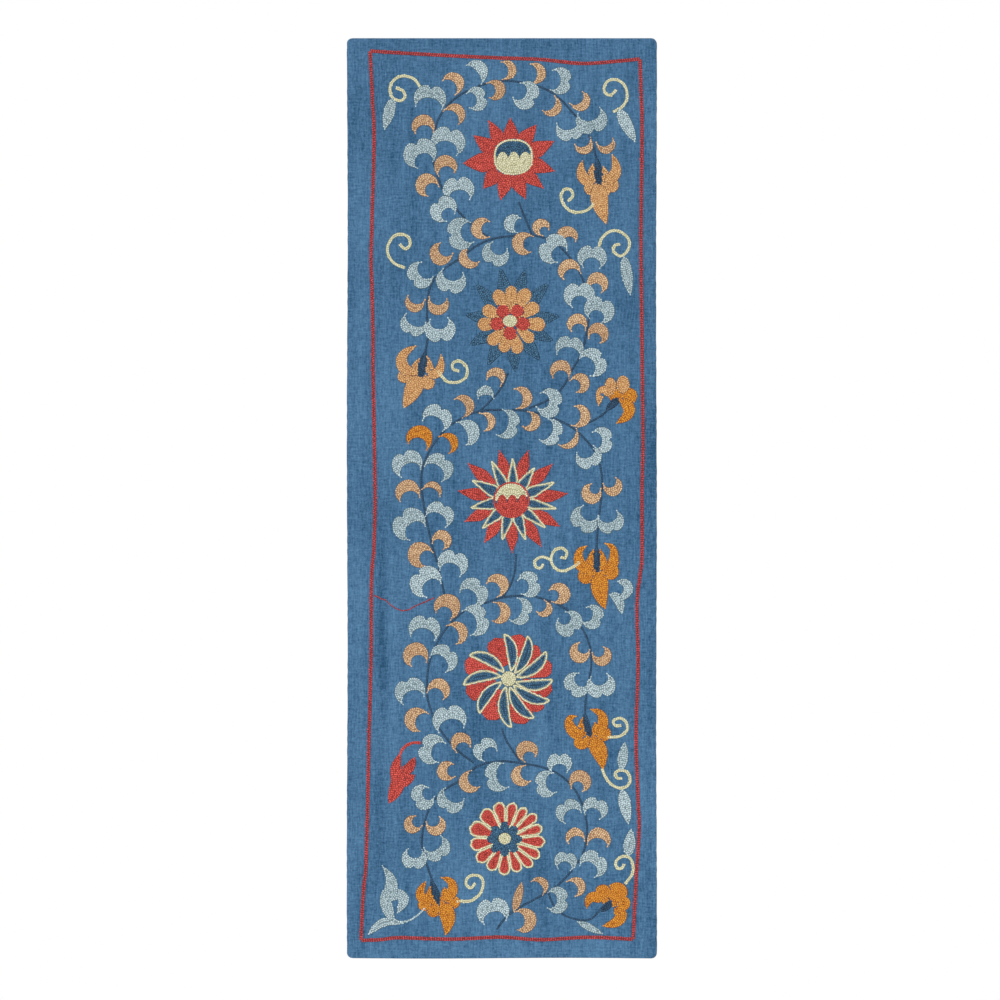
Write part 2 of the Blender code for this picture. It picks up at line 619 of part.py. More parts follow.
def make_cloth():
    """The ground cloth: a grid with rounded corners, thickened and then hung."""
    cage = bmesh.new()
    bmesh.ops.create_grid(cage, x_segments=CLOTH_COLUMNS, y_segments=CLOTH_ROWS, size=0.5)
    corners = [v for v in cage.verts if abs(v.co.x) > 0.499 and abs(v.co.y) > 0.499]
    shape = Matrix.Diagonal((CLOTH_WIDTH, CLOTH_LENGTH, 1, 1))
    bmesh.ops.transform(cage, matrix=shape, verts=cage.verts)
    bmesh.ops.bevel(cage, geom=corners, offset=CORNER_RADIUS, segments=CORNER_STEPS,
                    profile=0.5, affect="VERTICES")
    upright = Matrix.Translation((0, 0, -CLOTH_LENGTH / 2)) @ Matrix.Rotation(math.pi / 2, 4, "X")
    bmesh.ops.transform(cage, matrix=upright, verts=cage.verts)
    for vertex in cage.verts:
        vertex.co.x, vertex.co.z = wandered(vertex.co.x, vertex.co.z)
    mesh = bpy.data.meshes.new("ground_cloth")
    cage.to_mesh(mesh)
    cage.free()
    flat = add_object("ground_cloth", mesh, materials["cloth"], pieces)
    thick = flat.modifiers.new("thickness", "SOLIDIFY")
    thick.thickness = CLOTH_THICKNESS
    thick.offset = 0
    bpy.context.view_layer.update()
    graph = bpy.context.evaluated_depsgraph_get()
    sheet = bpy.data.meshes.new_from_object(flat.evaluated_get(graph))
    bpy.data.objects.remove(flat)
    add_hung("ground_cloth", sheet, materials["cloth"])


def make_border():
    """The red line: a flat section lofted all round, with mitred corners."""
    route = evenly([*BORDER, BORDER[0]], BORDER_STEP)
    corners = [BORDER[0], BORDER[7], BORDER[25], BORDER[32]]
    line = [min(corners, key=lambda c, p=p: math.dist(c, p))
            if min(math.dist(c, p) for c in corners) < BORDER_STEP / 2 else p
            for p in route[:-1]]
    back = -(CLOTH_THICKNESS / 2 + STITCH_GAP)
    front = back - STITCH_THICKNESS
    cage = bmesh.new()
    sections = []
    for index, place in enumerate(line):
        start, end = line[index - 1], line[(index + 1) % len(line)]
        arrive = math.atan2(place[1] - start[1], place[0] - start[0])
        leave = math.atan2(end[1] - place[1], end[0] - place[0])
        bend = (leave - arrive + math.pi) % (2 * math.pi) - math.pi
        reach = BORDER_HALF / math.cos(bend / 2)
        out = arrive + bend / 2 - math.pi / 2
        section = []
        for sign, depth in ((1, back), (1, front), (-1, front), (-1, back)):
            x, z = metres((place[0] + sign * reach * math.cos(out),
                           place[1] + sign * reach * math.sin(out)))
            section.append(cage.verts.new((x, depth, z)))
        sections.append(section)
    for first, second in zip(sections, [*sections[1:], sections[0]]):
        for index in range(4):
            after = (index + 1) % 4
            cage.faces.new((first[index], first[after], second[after], second[index]))
    bmesh.ops.recalc_face_normals(cage, faces=cage.faces)
    mesh = bpy.data.meshes.new("border_line")
    cage.to_mesh(mesh)
    cage.free()
    add_hung("border_line", mesh, materials["red"])


def motif_plates(motif):
    """The blades and thin stems that belong to a motif, as flat plates."""
    outlines = [blade(entry["route"], entry["half"])
                for entry in BLADES if entry["motif"] == motif]
    for entry in STEMS:
        if entry["motif"] == motif:
            line = evenly(curved(entry["route"], 1.5), TENDRIL_STEP)
            outlines.append(band(line, entry["half"]))
    return [flat_piece(motif, outline) for outline in outlines]


def make_branch(branch):
    """A vine with its stalks and its leaves, as one piece."""
    vine = evenly(curved(branch["route"], VINE_STEP / 4), VINE_STEP, branch["trim"])
    lines = [vine]
    plates = [flat_piece("vine", band(vine, VINE_HALF))]
    for stalk in STALKS:
        if stalk["branch"] == branch["name"]:
            lines.append(curved(stalk["route"], VINE_STEP))
            plates.append(flat_piece("stalk", band(lines[-1], STALK_HALF)))
    for kind, side, root_x, root_y, horn_x, horn_y, reach in LEAVES[branch["name"]]:
        leaf = arched_leaf(kind, side, (root_x, root_y), (horn_x, horn_y), reach)
        leaf[0] = nearest_place(lines, leaf[0], ROOT_OVERLAP)
        plates.append(flat_piece("leaf", leaf))
    plates += motif_plates(branch["name"])
    add_hung(branch["name"], joined(branch["name"], plates), materials["pale"])


def make_tendril(tendril):
    """A curled cream line, with its lance leaf where it has one."""
    curl = band(evenly(curved(tendril["route"], 1.5), TENDRIL_STEP), TENDRIL_HALF)
    plates = [flat_piece("curl", curl)]
    if tendril["leaf"]:
        root, tip, half = tendril["leaf"]
        plates.append(flat_piece("lance", blade((root, tip), half)))
    plates += motif_plates(tendril["name"])
    add_hung(tendril["name"], joined(tendril["name"], plates), materials["cream"])


def ring_of_places(medallion, scale_x, scale_y, rim):
    """One ring of a medallion on the chart: an oval, or the petalled rim scaled."""
    centre, tips = medallion["centre"], medallion["tips"]
    count = len(medallion["rim"])
    places = []
    for tip, following in zip(tips, (*tips[1:], tips[0] - 360)):
        for spoke, radius in enumerate(medallion["rim"]):
            lean = medallion["lean"] if spoke == 0 else 0
            angle = math.radians(tip + lean + (following - tip) * spoke / count)
            reach = radius if rim else 1
            places.append((centre[0] + scale_x * reach * math.cos(angle),
                           centre[1] - scale_y * reach * math.sin(angle)))
    return places


def make_medallion(medallion):
    """A low rosette: heart, petals and rim rise to their own heights."""
    back = -(CLOTH_THICKNESS / 2 + STITCH_GAP)
    heart_x, heart_y = medallion["heart"]
    shift = medallion["shift"]
    heart_height, petal_height = medallion["heights"]
    levels = (
        (0.55 * heart_x, 0.55 * heart_y, False, heart_height),
        (heart_x, heart_y, False, petal_height - 0.0002),
        (BODY_SHARE + 0.12, BODY_SHARE + 0.12, True, petal_height),
        (1, 1, True, RIM_HEIGHT),
        (1, 1, True, 0.0),
        (BODY_SHARE, BODY_SHARE, True, 0.0),
    )
    cage = bmesh.new()
    rings = []
    for scale_x, scale_y, rim, height in levels:
        ring = []
        for place in ring_of_places(medallion, scale_x, scale_y, rim):
            moved = place if rim else (place[0] + shift[0], place[1] + shift[1])
            x, z = metres(moved)
            ring.append(cage.verts.new((x, back - height, z)))
        rings.append(ring)
    for first, second in zip(rings, rings[1:]):
        for index in range(len(first)):
            after = (index + 1) % len(first)
            cage.faces.new((first[index], first[after], second[after], second[index]))
    for ring, height, offset in ((rings[0], heart_height, shift), (rings[-1], 0.0, (0, 0))):
        x, z = metres(tuple(c + s for c, s in zip(medallion["centre"], offset)))
        middle = cage.verts.new((x, back - height, z))
        for index in range(len(ring)):
            after = (index + 1) % len(ring)
            order = (ring[index], ring[after], middle)
            cage.faces.new(order if ring is rings[-1] else order[::-1])
    bmesh.ops.recalc_face_normals(cage, faces=cage.faces)
    mesh = bpy.data.meshes.new(medallion["name"])
    cage.to_mesh(mesh)
    cage.free()
    add_hung(medallion["name"], mesh, materials[medallion["colour"]])


def make_small_motifs():
    for name, colour in SMALL_MOTIFS:
        add_hung(name, joined(name, motif_plates(name)), materials[colour])


clear_scene()
materials = {name: make_material(name) for name in COLOURS}
pieces = make_collection("embroidered_wall_hanging")
joins = make_collection("joins", hidden=True)
make_cloth()
make_border()
for entry in MEDALLIONS:
    make_medallion(entry)
for entry in BRANCHES:
    make_branch(entry)
for entry in FLOWERS:
    shape = flat_piece(entry["name"], flower_outline(entry))
    add_hung(entry["name"], shape, materials["orange"])
for entry in TENDRILS:
    make_tendril(entry)
make_small_motifs()
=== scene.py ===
# Embroidered wall hanging: a long blue cloth with vines, leaves, hanging flowers and five
# rosettes in chain stitch, inside a red stitched border. Metres, +Z up, worked face to -Y.
import math
import re

import bpy
import numpy as np
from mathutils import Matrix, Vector


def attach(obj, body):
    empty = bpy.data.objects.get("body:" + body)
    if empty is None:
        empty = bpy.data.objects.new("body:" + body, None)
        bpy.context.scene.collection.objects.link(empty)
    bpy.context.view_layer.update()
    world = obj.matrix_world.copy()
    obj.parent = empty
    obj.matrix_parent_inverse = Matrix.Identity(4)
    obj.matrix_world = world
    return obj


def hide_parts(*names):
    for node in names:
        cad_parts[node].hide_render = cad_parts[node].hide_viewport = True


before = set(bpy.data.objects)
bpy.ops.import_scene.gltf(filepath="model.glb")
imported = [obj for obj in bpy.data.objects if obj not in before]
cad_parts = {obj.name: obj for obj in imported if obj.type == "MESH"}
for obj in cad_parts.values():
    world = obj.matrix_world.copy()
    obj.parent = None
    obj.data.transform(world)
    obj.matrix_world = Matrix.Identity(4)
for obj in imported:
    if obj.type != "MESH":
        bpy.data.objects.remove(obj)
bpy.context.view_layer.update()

chance = np.random.default_rng(7)

# The cloth and the way it hangs, the same as in the solids
cloth = dict(
    width=0.500, length=1.487, thickness=0.0015, corner=0.009,
    heading=0.0619, fade=0.25,                    # the top lies flat, then the waves begin
    bow=0.0030, bowLength=1.75,
    ripple=0.0009, rippleLength=0.42, rippleStart=0.6, sway=0.7, swayLength=1.1,
    drift=0.0007, driftLength=0.62, driftLean=5.0,
    edgeWander=0.0006, fray=0.00025,              # the edges aren't quite straight
    edgeThin=0.45, edgeShade=0.30,                # the turned edge: thinner at its rim, which gets painted shade
    cell=0.0050, closeDown=(0.0, 0.0007, 0.0020, 0.0040, 0.0065, 0.0090),
    closeAcross=(0.0, 0.0007, 0.0030),            # mesh lines: even inside, close at the edges
)
# Small puckers drawn in by the needlework: depth, how long across, how long down, turn
puckers = (
    (0.00016, 0.061, 0.170, 0.4), (0.00014, 0.093, -0.124, 1.9), (0.00010, 0.037, 0.290, 2.7),
    (0.00012, -0.210, 0.049, 0.9), (0.00009, 0.330, 0.033, 4.1),
)
# Places are given on a chart in units of about 1.6 mm, x to the right and y down
chart = dict(left=347.2, right=656.5, top=38.2)
unit = cloth["width"] / (chart["right"] - chart["left"])
chartMiddle = (chart["left"] + chart["right"]) / 2

# One chain stitch: sizes in chart units, heights in metres
stitch = dict(
    row=1.72, pitch=2.15, overlap=1.04, height=0.00085,
    bed=0.00030, bedSpread=0.00004, bedPaintedShade=0.25,     # the thread that lies under the links, dark with painted shade in the gaps
    wander=0.096, swing=0.16, uneven=0.12,            # how far the links stray from even ones
    tone=0.62, toneSpread=0.17, lightest=1.1,
    edgePitch=1.7, edgeOverlap=1.3,                   # an edging row in another thread
    tipRow=1.35, tipWide=2.2,                         # the slim stitch at a pointed tip
    lineOverlap=1.2, shortest=0.6, mostRows=60,
    # how far the bed reaches to the left and right, as shares of the row's width; the first row's
    # bed reaches further out to lay a painted shade line along the motif's edge
    firstBed=(0.62, 1.15), nextBed=(0.45, 1.15), plainBed=(0.45, 0.80), lineBed=(0.5, 0.5),
    tipBed=(0.4, 0.4),
)


def softStep(share):
    share = np.clip(share, 0.0, 1.0)
    return share * share * (3 - 2 * share)


def hangDepth(x, z):
    # how far the hung cloth stands back (+) or forward (-) of its heading
    down = -z
    fade = softStep((down - cloth["heading"]) / cloth["fade"])
    bow = cloth["bow"] * np.sin(2 * np.pi * down / cloth["bowLength"])
    sway = cloth["sway"] * np.sin(2 * np.pi * down / cloth["swayLength"])
    turn = 2 * np.pi * x / cloth["rippleLength"] + cloth["rippleStart"] + sway
    ripple = cloth["ripple"] * np.sin(turn) * (0.5 + 0.5 * down / cloth["length"])
    lean = cloth["driftLean"] * x
    drift = cloth["drift"] * np.sin(2 * np.pi * down / cloth["driftLength"] + lean)
    small = 0.0
    for depth, across, along, start in puckers:
        small = small + depth * np.sin(2 * np.pi * (x / across + z / along) + start)
    return fade * (bow + ripple + drift) + small


def toMetres(places):
    places = np.asarray(places, float)
    return (places[:, 0] - chartMiddle) * unit, (chart["top"] - places[:, 1]) * unit


# Materials

threads = {
    # dark strand, light strand and roughness of each thread
    "redThread": ((0.35, 0.02, 0.014), (1.0, 0.15, 0.115), 0.62),
    "borderThread": ((0.17, 0.012, 0.018), (0.82, 0.11, 0.115), 0.66),
    "vineThread": ((0.008, 0.034, 0.072), (0.046, 0.122, 0.232), 0.66),
    "navyThread": ((0.009, 0.052, 0.112), (0.1, 0.262, 0.435), 0.66),
    "orangeThread": ((0.52, 0.115, 0.004), (1.0, 0.48, 0.045), 0.6),
    "goldThread": ((0.56, 0.21, 0.06), (1.0, 0.68, 0.31), 0.6),
    "apricotThread": ((0.44, 0.21, 0.095), (1.0, 0.74, 0.45), 0.6),
    "creamThread": ((0.62, 0.58, 0.31), (1.0, 1.0, 0.74), 0.6),
    "paleThread": ((0.21, 0.32, 0.36), (0.78, 0.94, 0.98), 0.58),
}
# How much of a thread's tone comes from the stitch, the strands, the motif's tint and wear; hollow
# is how dark the painted shade in the holes and hollows of the links gets
threadLook = dict(
    stitch=0.78, strand=0.20, tint=0.22, worn=-0.14, strandScale=1500.0, wornScale=26.0,
    hollow=0.36, sheen=0.18, smoother=0.12, rougher=0.18, bump=0.5, bumpDepth=0.0002,
)
clothLook = dict(
    dark=(0.006, 0.052, 0.12), light=(0.086, 0.205, 0.355), rough=0.86, sheen=0.12,
    smoother=0.12, rougher=0.08, bump=0.55, bumpDepth=0.0004,
    # slubs: scale across and down, detail, roughness and share of the tone
    upright=(380.0, 55.0, 4.0, 0.7, 1.7), level=(60.0, 350.0, 4.0, 0.7, 1.3),
    nubby=(300.0, 300.0, 3.0, 0.7, 1.3), broad=(60.0, 4.0, 2.0, 0.5, 0.6),
    cloudy=(9.0, 6.0, 3.0, 0.5, 0.6),
    # plain weave: direction, scale and finer scale of its ribs
    weave=(("X", 190.0, 1.5), ("Z", 180.0, 1.0)), weaveTone=0.1, weaveRelief=0.5, darker=-2.85,
)


def setInputs(tree, node, inputs):
    # a socket is linked, any other value is set; an input named i0 is the first one
    for name, value in inputs.items():
        socket = node.inputs[int(name[1:]) if name[1:].isdigit() else name]
        if isinstance(value, bpy.types.NodeSocket):
            tree.links.new(value, socket)
        else:
            socket.default_value = value


def nodeMaker(tree):
    def make(kind, settings=None, **inputs):
        node = tree.nodes.new(kind)
        for name, value in (settings or {}).items():
            setattr(node, name, value)
        setInputs(tree, node, inputs)
        return node
    return make


def addObject(name, data):
    made = bpy.data.objects.new(name, data)
    bpy.context.scene.collection.objects.link(made)
    return made


def mixColours(make, share, *colours):
    first, second = (value if isinstance(value, bpy.types.NodeSocket) else (*value, 1)
                     for value in colours)
    return make("ShaderNodeMix", dict(data_type="RGBA"), i0=share, i6=first, i7=second).outputs[2]


def weightedSum(make, *terms, start=0.0):
    for value, weight in terms:
        start = make("ShaderNodeMath", dict(operation="MULTIPLY_ADD"), i0=value, i1=weight,
                     i2=start).outputs[0]
    return start


def fabric(name, rough, look, paint):
    # paint gives the colour, the grain that varies the roughness, and the relief
    material = bpy.data.materials.new(name)
    material.use_nodes = True
    tree = material.node_tree
    make = nodeMaker(tree)
    colour, grain, relief = paint(make, make("ShaderNodeTexCoord").outputs["Object"])
    varied = make("ShaderNodeMapRange", **{"Value": grain, "To Min": rough - look["smoother"],
                                           "To Max": rough + look["rougher"]})
    bump = make("ShaderNodeBump", Height=relief, Strength=look["bump"],
                Distance=look["bumpDepth"])
    setInputs(tree, tree.nodes["Principled BSDF"], {
        "Metallic": 0.0, "Specular IOR Level": 0.25, "Sheen Weight": look["sheen"],
        "Sheen Roughness": 0.45, "Base Color": colour, "Roughness": varied.outputs[0],
        "Normal": bump.outputs[0]})
    return material


def threadMaterial(name):
    dark, light, rough = threads[name]
    look = threadLook

    def paint(make, where):
        # tone of each stitch, painted shade of the holes and hollows of its loop, and tint of its
        # motif come with the mesh
        stitched = make("ShaderNodeAttribute", dict(attribute_name="stitch")).outputs["Color"]
        tone, paintedShade, tint = make("ShaderNodeSeparateColor", Color=stitched).outputs
        strand = make("ShaderNodeTexNoise", Vector=where, Scale=look["strandScale"], Detail=3.0,
                      Roughness=0.6).outputs[0]
        worn = make("ShaderNodeTexNoise", Vector=where, Scale=look["wornScale"],
                    Detail=3.0).outputs[0]
        tone = weightedSum(make, (tone, look["stitch"]), (strand, look["strand"]),
                           (tint, look["tint"]), (worn, look["worn"]))
        colour = mixColours(make, tone, dark, light)
        # painted shade: where the mesh's painted light share is low, the colour turns to a
        # darkened dark strand
        hollow = [look["hollow"] * part for part in dark]
        return mixColours(make, paintedShade, hollow, colour), strand, strand
    return fabric(name, rough, look, paint)


def paintCloth(make, where):
    # handwoven cotton: slubs along both thread directions and a fine plain weave
    slubs = []
    for name in ("upright", "level", "nubby", "broad", "cloudy"):
        across, down, detail, rough, share = clothLook[name]
        turned = make("ShaderNodeMapping", Vector=where, Scale=(across, 1.0, down)).outputs[0]
        streak = make("ShaderNodeTexNoise", Vector=turned, Scale=1.0, Detail=detail,
                      Roughness=rough)
        slubs.append((streak.outputs[0], share))
    ribs = [make("ShaderNodeTexWave", dict(bands_direction=way),
                 **{"Vector": where, "Scale": scale, "Distortion": 1.2, "Detail Scale": finer})
            for way, scale, finer in clothLook["weave"]]
    weave = weightedSum(make, *((rib.outputs[1], 1.0) for rib in ribs))
    shade = make("ShaderNodeAttribute", dict(attribute_name="shade")).outputs["Color"]
    shade = make("ShaderNodeSeparateColor", Color=shade).outputs[0]
    tone = weightedSum(make, *slubs, (weave, clothLook["weaveTone"]), (shade, 1.0),
                       start=clothLook["darker"])
    upright, level = slubs[0][0], slubs[1][0]
    relief = weightedSum(make, (weave, clothLook["weaveRelief"]), (level, 1.0), (upright, 1.0))
    return mixColours(make, tone, clothLook["dark"], clothLook["light"]), upright, relief


finishes = {name: threadMaterial(name) for name in threads}
finishes["blueCotton"] = fabric("blueCotton", clothLook["rough"], clothLook, paintCloth)
threadOrder = list(threads)
print("materials ready")


# Lines and outlines on the chart

def smoothLine(points):
    # a smooth line through the points, with a point about every unit
    points = np.asarray(points, float)
    ends = np.vstack([points[:1], points, points[-1:]])
    line = []
    for before, start, end, after in zip(ends, ends[1:], ends[2:], ends[3:]):
        parts = max(1, round(math.dist(start, end)))
        for part in range(parts):
            t = part / parts
            line.append(0.5 * (before * (-t + 2 * t**2 - t**3) + start * (2 - 5 * t**2 + 3 * t**3)
                               + end * (t + 4 * t**2 - 3 * t**3) + after * (t**3 - t**2)))
    line.append(points[-1])
    return np.array(line)


def lineLengths(line):
    return np.concatenate([[0.0], np.cumsum(np.hypot(*np.diff(line, axis=0).T))])


def pointsAlong(line, distances):
    reached = lineLengths(line)
    return np.column_stack([np.interp(distances, reached, line[:, axis]) for axis in (0, 1)])


def cutLine(line, fromStart, fromEnd):
    whole = lineLengths(line)[-1]
    return pointsAlong(line, np.linspace(fromStart, whole - fromEnd, max(3, int(whole))))


def sideways(line):
    # the unit step to the left of the line at each point
    run = np.gradient(line, axis=0)
    run /= np.maximum(np.hypot(*run.T), 1e-9)[:, None]
    return np.column_stack([run[:, 1], -run[:, 0]])


def aroundCentre(centre, radii, turn):
    return np.column_stack([centre[0] + radii * np.cos(turn), centre[1] - radii * np.sin(turn)])


def bladeOutline(route, half, fullest=0.9, blunt=0.7):
    # a leaf with a bent middle line, pointed at both ends
    line = smoothLine(route)
    shares = np.linspace(0, 1, 15)
    places = pointsAlong(line, shares * lineLengths(line)[-1])
    width = half * np.sin(np.pi * shares**fullest)**blunt
    side = sideways(places)
    return np.vstack([places + side * width[:, None], (places - side * width[:, None])[-2:0:-1]])


leafKinds = {
    # apricot (a), orange (o), pale with two lobes (p) or plain pale (c): shares of the reach
    # outside and inside the middle line, and whether the outside parts into two round lobes
    "a": dict(outer=0.28, inner=0.30, hollow=1.0, lobes=0.0, thread="apricotThread"),
    "o": dict(outer=0.28, inner=0.30, hollow=1.0, lobes=0.0, thread="orangeThread"),
    "p": dict(outer=0.34, inner=0.23, hollow=1.5, lobes=1.0, thread="paleThread"),
    "c": dict(outer=0.36, inner=0.38, hollow=1.0, lobes=0.0, thread="paleThread"),
}
leafShape = dict(horn=0.75, rootShare=0.1, rootReach=0.5, stations=40, lobeTop=0.78, lobeRise=1.1,
                 notch=0.90, point=1.3)


def leafOutline(kind, side, rootX, rootY, hornX, hornY, reach):
    # an arched leaf that stands on two horns, the root one on the vine
    look = leafKinds[kind]
    root, horn = (rootX, rootY), (hornX, hornY)
    chord = math.dist(root, horn)
    rise = reach * (1 - look["outer"])
    apex = math.atan2(hornY - rootY, hornX - rootX) - side * math.pi / 2
    radius = (chord**2 / 4 + rise**2) / (2 * rise)
    spread = math.acos((radius - rise) / radius)
    middle = np.array([(rootX + hornX) / 2, (rootY + hornY) / 2])
    middle += (rise - radius) * np.array([math.cos(apex), math.sin(apex)])
    shares = np.linspace(0, 1, leafShape["stations"] + 1)[1:-1]
    angles = apex - side * spread * (1 - 2 * shares)
    fullness = np.sin(np.pi * shares)**leafShape["horn"]
    rooted = leafShape["rootShare"]
    slim = rooted + (1 - rooted) * softStep(shares / leafShape["rootReach"])
    fromHorn = 2 * np.minimum(shares, 1 - shares)
    top = leafShape["lobeTop"]
    rising = np.sin(np.pi / 2 * np.minimum(fromHorn / top, 1))**leafShape["lobeRise"]
    falling = np.clip((fromHorn - top) / (1 - top), 0, 1)
    lobed = rising * np.sqrt(1 - leafShape["notch"] * falling**2)
    parted = (1 - look["lobes"]) * fullness * slim + look["lobes"] * lobed
    far = radius + reach * look["outer"] * parted
    near = radius - reach * look["inner"] * fullness**look["hollow"]
    ray = np.column_stack([np.cos(angles), np.sin(angles)])
    outer, inner = middle + ray * far[:, None], middle + ray * near[:, None]
    ends = []
    for place, onward in ((root, -1), (horn, 1)):
        turn = apex + onward * side * spread
        out = leafShape["point"] * onward * side
        ends.append([place[0] - out * math.sin(turn), place[1] + out * math.cos(turn)])
    return np.vstack([ends[:1], outer, ends[1:], inner[::-1]])


def petalOutline(centre, angle, base, tip, left, right, shoulder, blunt):
    # a petal as a wedge from base to tip radius that closes from its shoulder onward; left
    # and right are half angles, blunt is 1 for a round end and 0 for a pointed one
    shares = np.linspace(0, 1, 11)
    closing = np.clip((shares - shoulder) / (1 - shoulder), 0, 1)
    radii = base + (tip - base) * shares
    pointed = (1 - closing) * np.minimum(1, (base + (tip - base) * shoulder) / radii)
    fullness = blunt * np.sqrt(1 - closing**2) + (1 - blunt) * pointed
    sides = [aroundCentre(centre, radii, np.radians(angle) + np.radians(half) * fullness)
             for half in (left, -right)]
    return np.vstack([sides[0], sides[1][-2::-1]])


def ovalOutline(middleX, middleY, wide, high, square=2.0, count=40):
    turn = np.linspace(0, 2 * np.pi, count, endpoint=False)
    x, y = np.cos(turn), np.sin(turn)
    return np.column_stack([middleX + wide * np.sign(x) * np.abs(x)**(2 / square),
                            middleY + high * np.sign(y) * np.abs(y)**(2 / square)])


def insideOutline(places, outline):
    # which places lie inside a closed outline
    inside = np.zeros(len(places), bool)
    for start, end in zip(outline, np.roll(outline, -1, axis=0)):
        if start[1] == end[1]:
            continue
        crosses = (start[1] > places[:, 1]) != (end[1] > places[:, 1])
        share = (places[:, 1] - start[1]) / (end[1] - start[1])
        inside ^= crosses & (places[:, 0] < start[0] + share * (end[0] - start[0]))
    return inside


def rowsInside(outline, inset, spacing=0.5, slack=0.06, jump=1.2):
    # the runs of a row of stitches that keeps an even distance inside the outline
    outline = np.asarray(outline, float)
    following = np.roll(outline, -1, axis=0)
    keep = np.hypot(*(following - outline).T) > 1e-6
    outline, following = outline[keep], following[keep]
    area = np.sum(outline[:, 0] * following[:, 1] - following[:, 0] * outline[:, 1])
    if area < 0:
        outline = outline[::-1]
        following = np.roll(outline, -1, axis=0)
    edges = following - outline
    edgeLengths = np.hypot(*edges.T)
    inward = np.column_stack([-edges[:, 1], edges[:, 0]]) / edgeLengths[:, None]
    placed = []
    for corner, edge, length, before, after in zip(outline, edges, edgeLengths,
                                                   np.roll(inward, 1, axis=0), inward):
        turn = math.atan2(before[0] * after[1] - before[1] * after[0], before @ after)
        if turn < 0:                                  # an inner corner gets a fan of rays
            steps = max(1, int(abs(turn) * inset / spacing))
            start = math.atan2(before[1], before[0])
            for step in range(steps + 1):
                ray = start + turn * step / steps
                placed.append(corner + inset * np.array([math.cos(ray), math.sin(ray)]))
        count = max(1, round(length / spacing))
        shares = (np.arange(count) + 0.5) / count
        placed.extend(corner + shares[:, None] * edge + inset * after)
    placed = np.array(placed)
    gaps = placed[:, None, :] - outline[None]
    along = np.clip((gaps * edges[None]).sum(2) / (edgeLengths**2)[None], 0, 1)
    away = np.hypot(*np.moveaxis(gaps - along[:, :, None] * edges[None], 2, 0)).min(axis=1)
    kept = (away > inset - slack) & insideOutline(placed, outline)
    if not kept.any():
        return []
    if not kept.all():                                # start the ring just after a gap
        first = int(np.argmax(~kept))
        placed, kept = np.roll(placed, -first, axis=0), np.roll(kept, -first)
    places = placed[kept]
    jumps = np.hypot(*(np.roll(places, -1, axis=0) - places).T) > jump
    if not jumps.any():
        return [(places, True)]
    cut = int(np.argmax(jumps)) + 1
    places, jumps = np.roll(places, -cut, axis=0), np.roll(jumps, -cut)
    return [(run, math.dist(run[0], run[-1]) < jump)
            for run in np.split(places, np.flatnonzero(jumps[:-1]) + 1) if len(run) > 2]


# Stitches

# One link of the chain: along, width share, height share, painted light share (none at the hole
# where the link starts: painted shade)
linkStations = ((0.00, 0.34, 0.20, 0.0), (0.36, 0.88, 0.95, 1.0), (0.74, 1.00, 1.00, 1.0),
                (1.00, 0.55, 0.40, 0.3))
# across, height share, painted light share (less at the rims and in the middle hollow: painted
# shade)
linkColumns = ((-1.0, 0.0, 0.25), (-0.52, 1.0, 1.0), (0.0, 0.55, 0.60), (0.52, 1.0, 1.0),
               (1.0, 0.0, 0.25))


def newMotif(name, slot, node=None):
    # the solid's name is the piece's name in lower case: flower1 stands for flower_1
    node = node or re.sub("([A-Z]|[0-9]+)", r"_\1", name).lower()
    return dict(name=name, nodes=[node], slot=slot, places=[], faces=[], threads=[], shades=[],
                count=0, stitches=0)


def addMesh(motif, places, heights, faces, thread, shades):
    motif["places"].append(np.column_stack([places, heights]))
    motif["faces"].append(faces + motif["count"])
    motif["threads"].append(np.full(len(faces), threadOrder.index(thread)))
    motif["shades"].append(shades)
    motif["count"] += len(places)


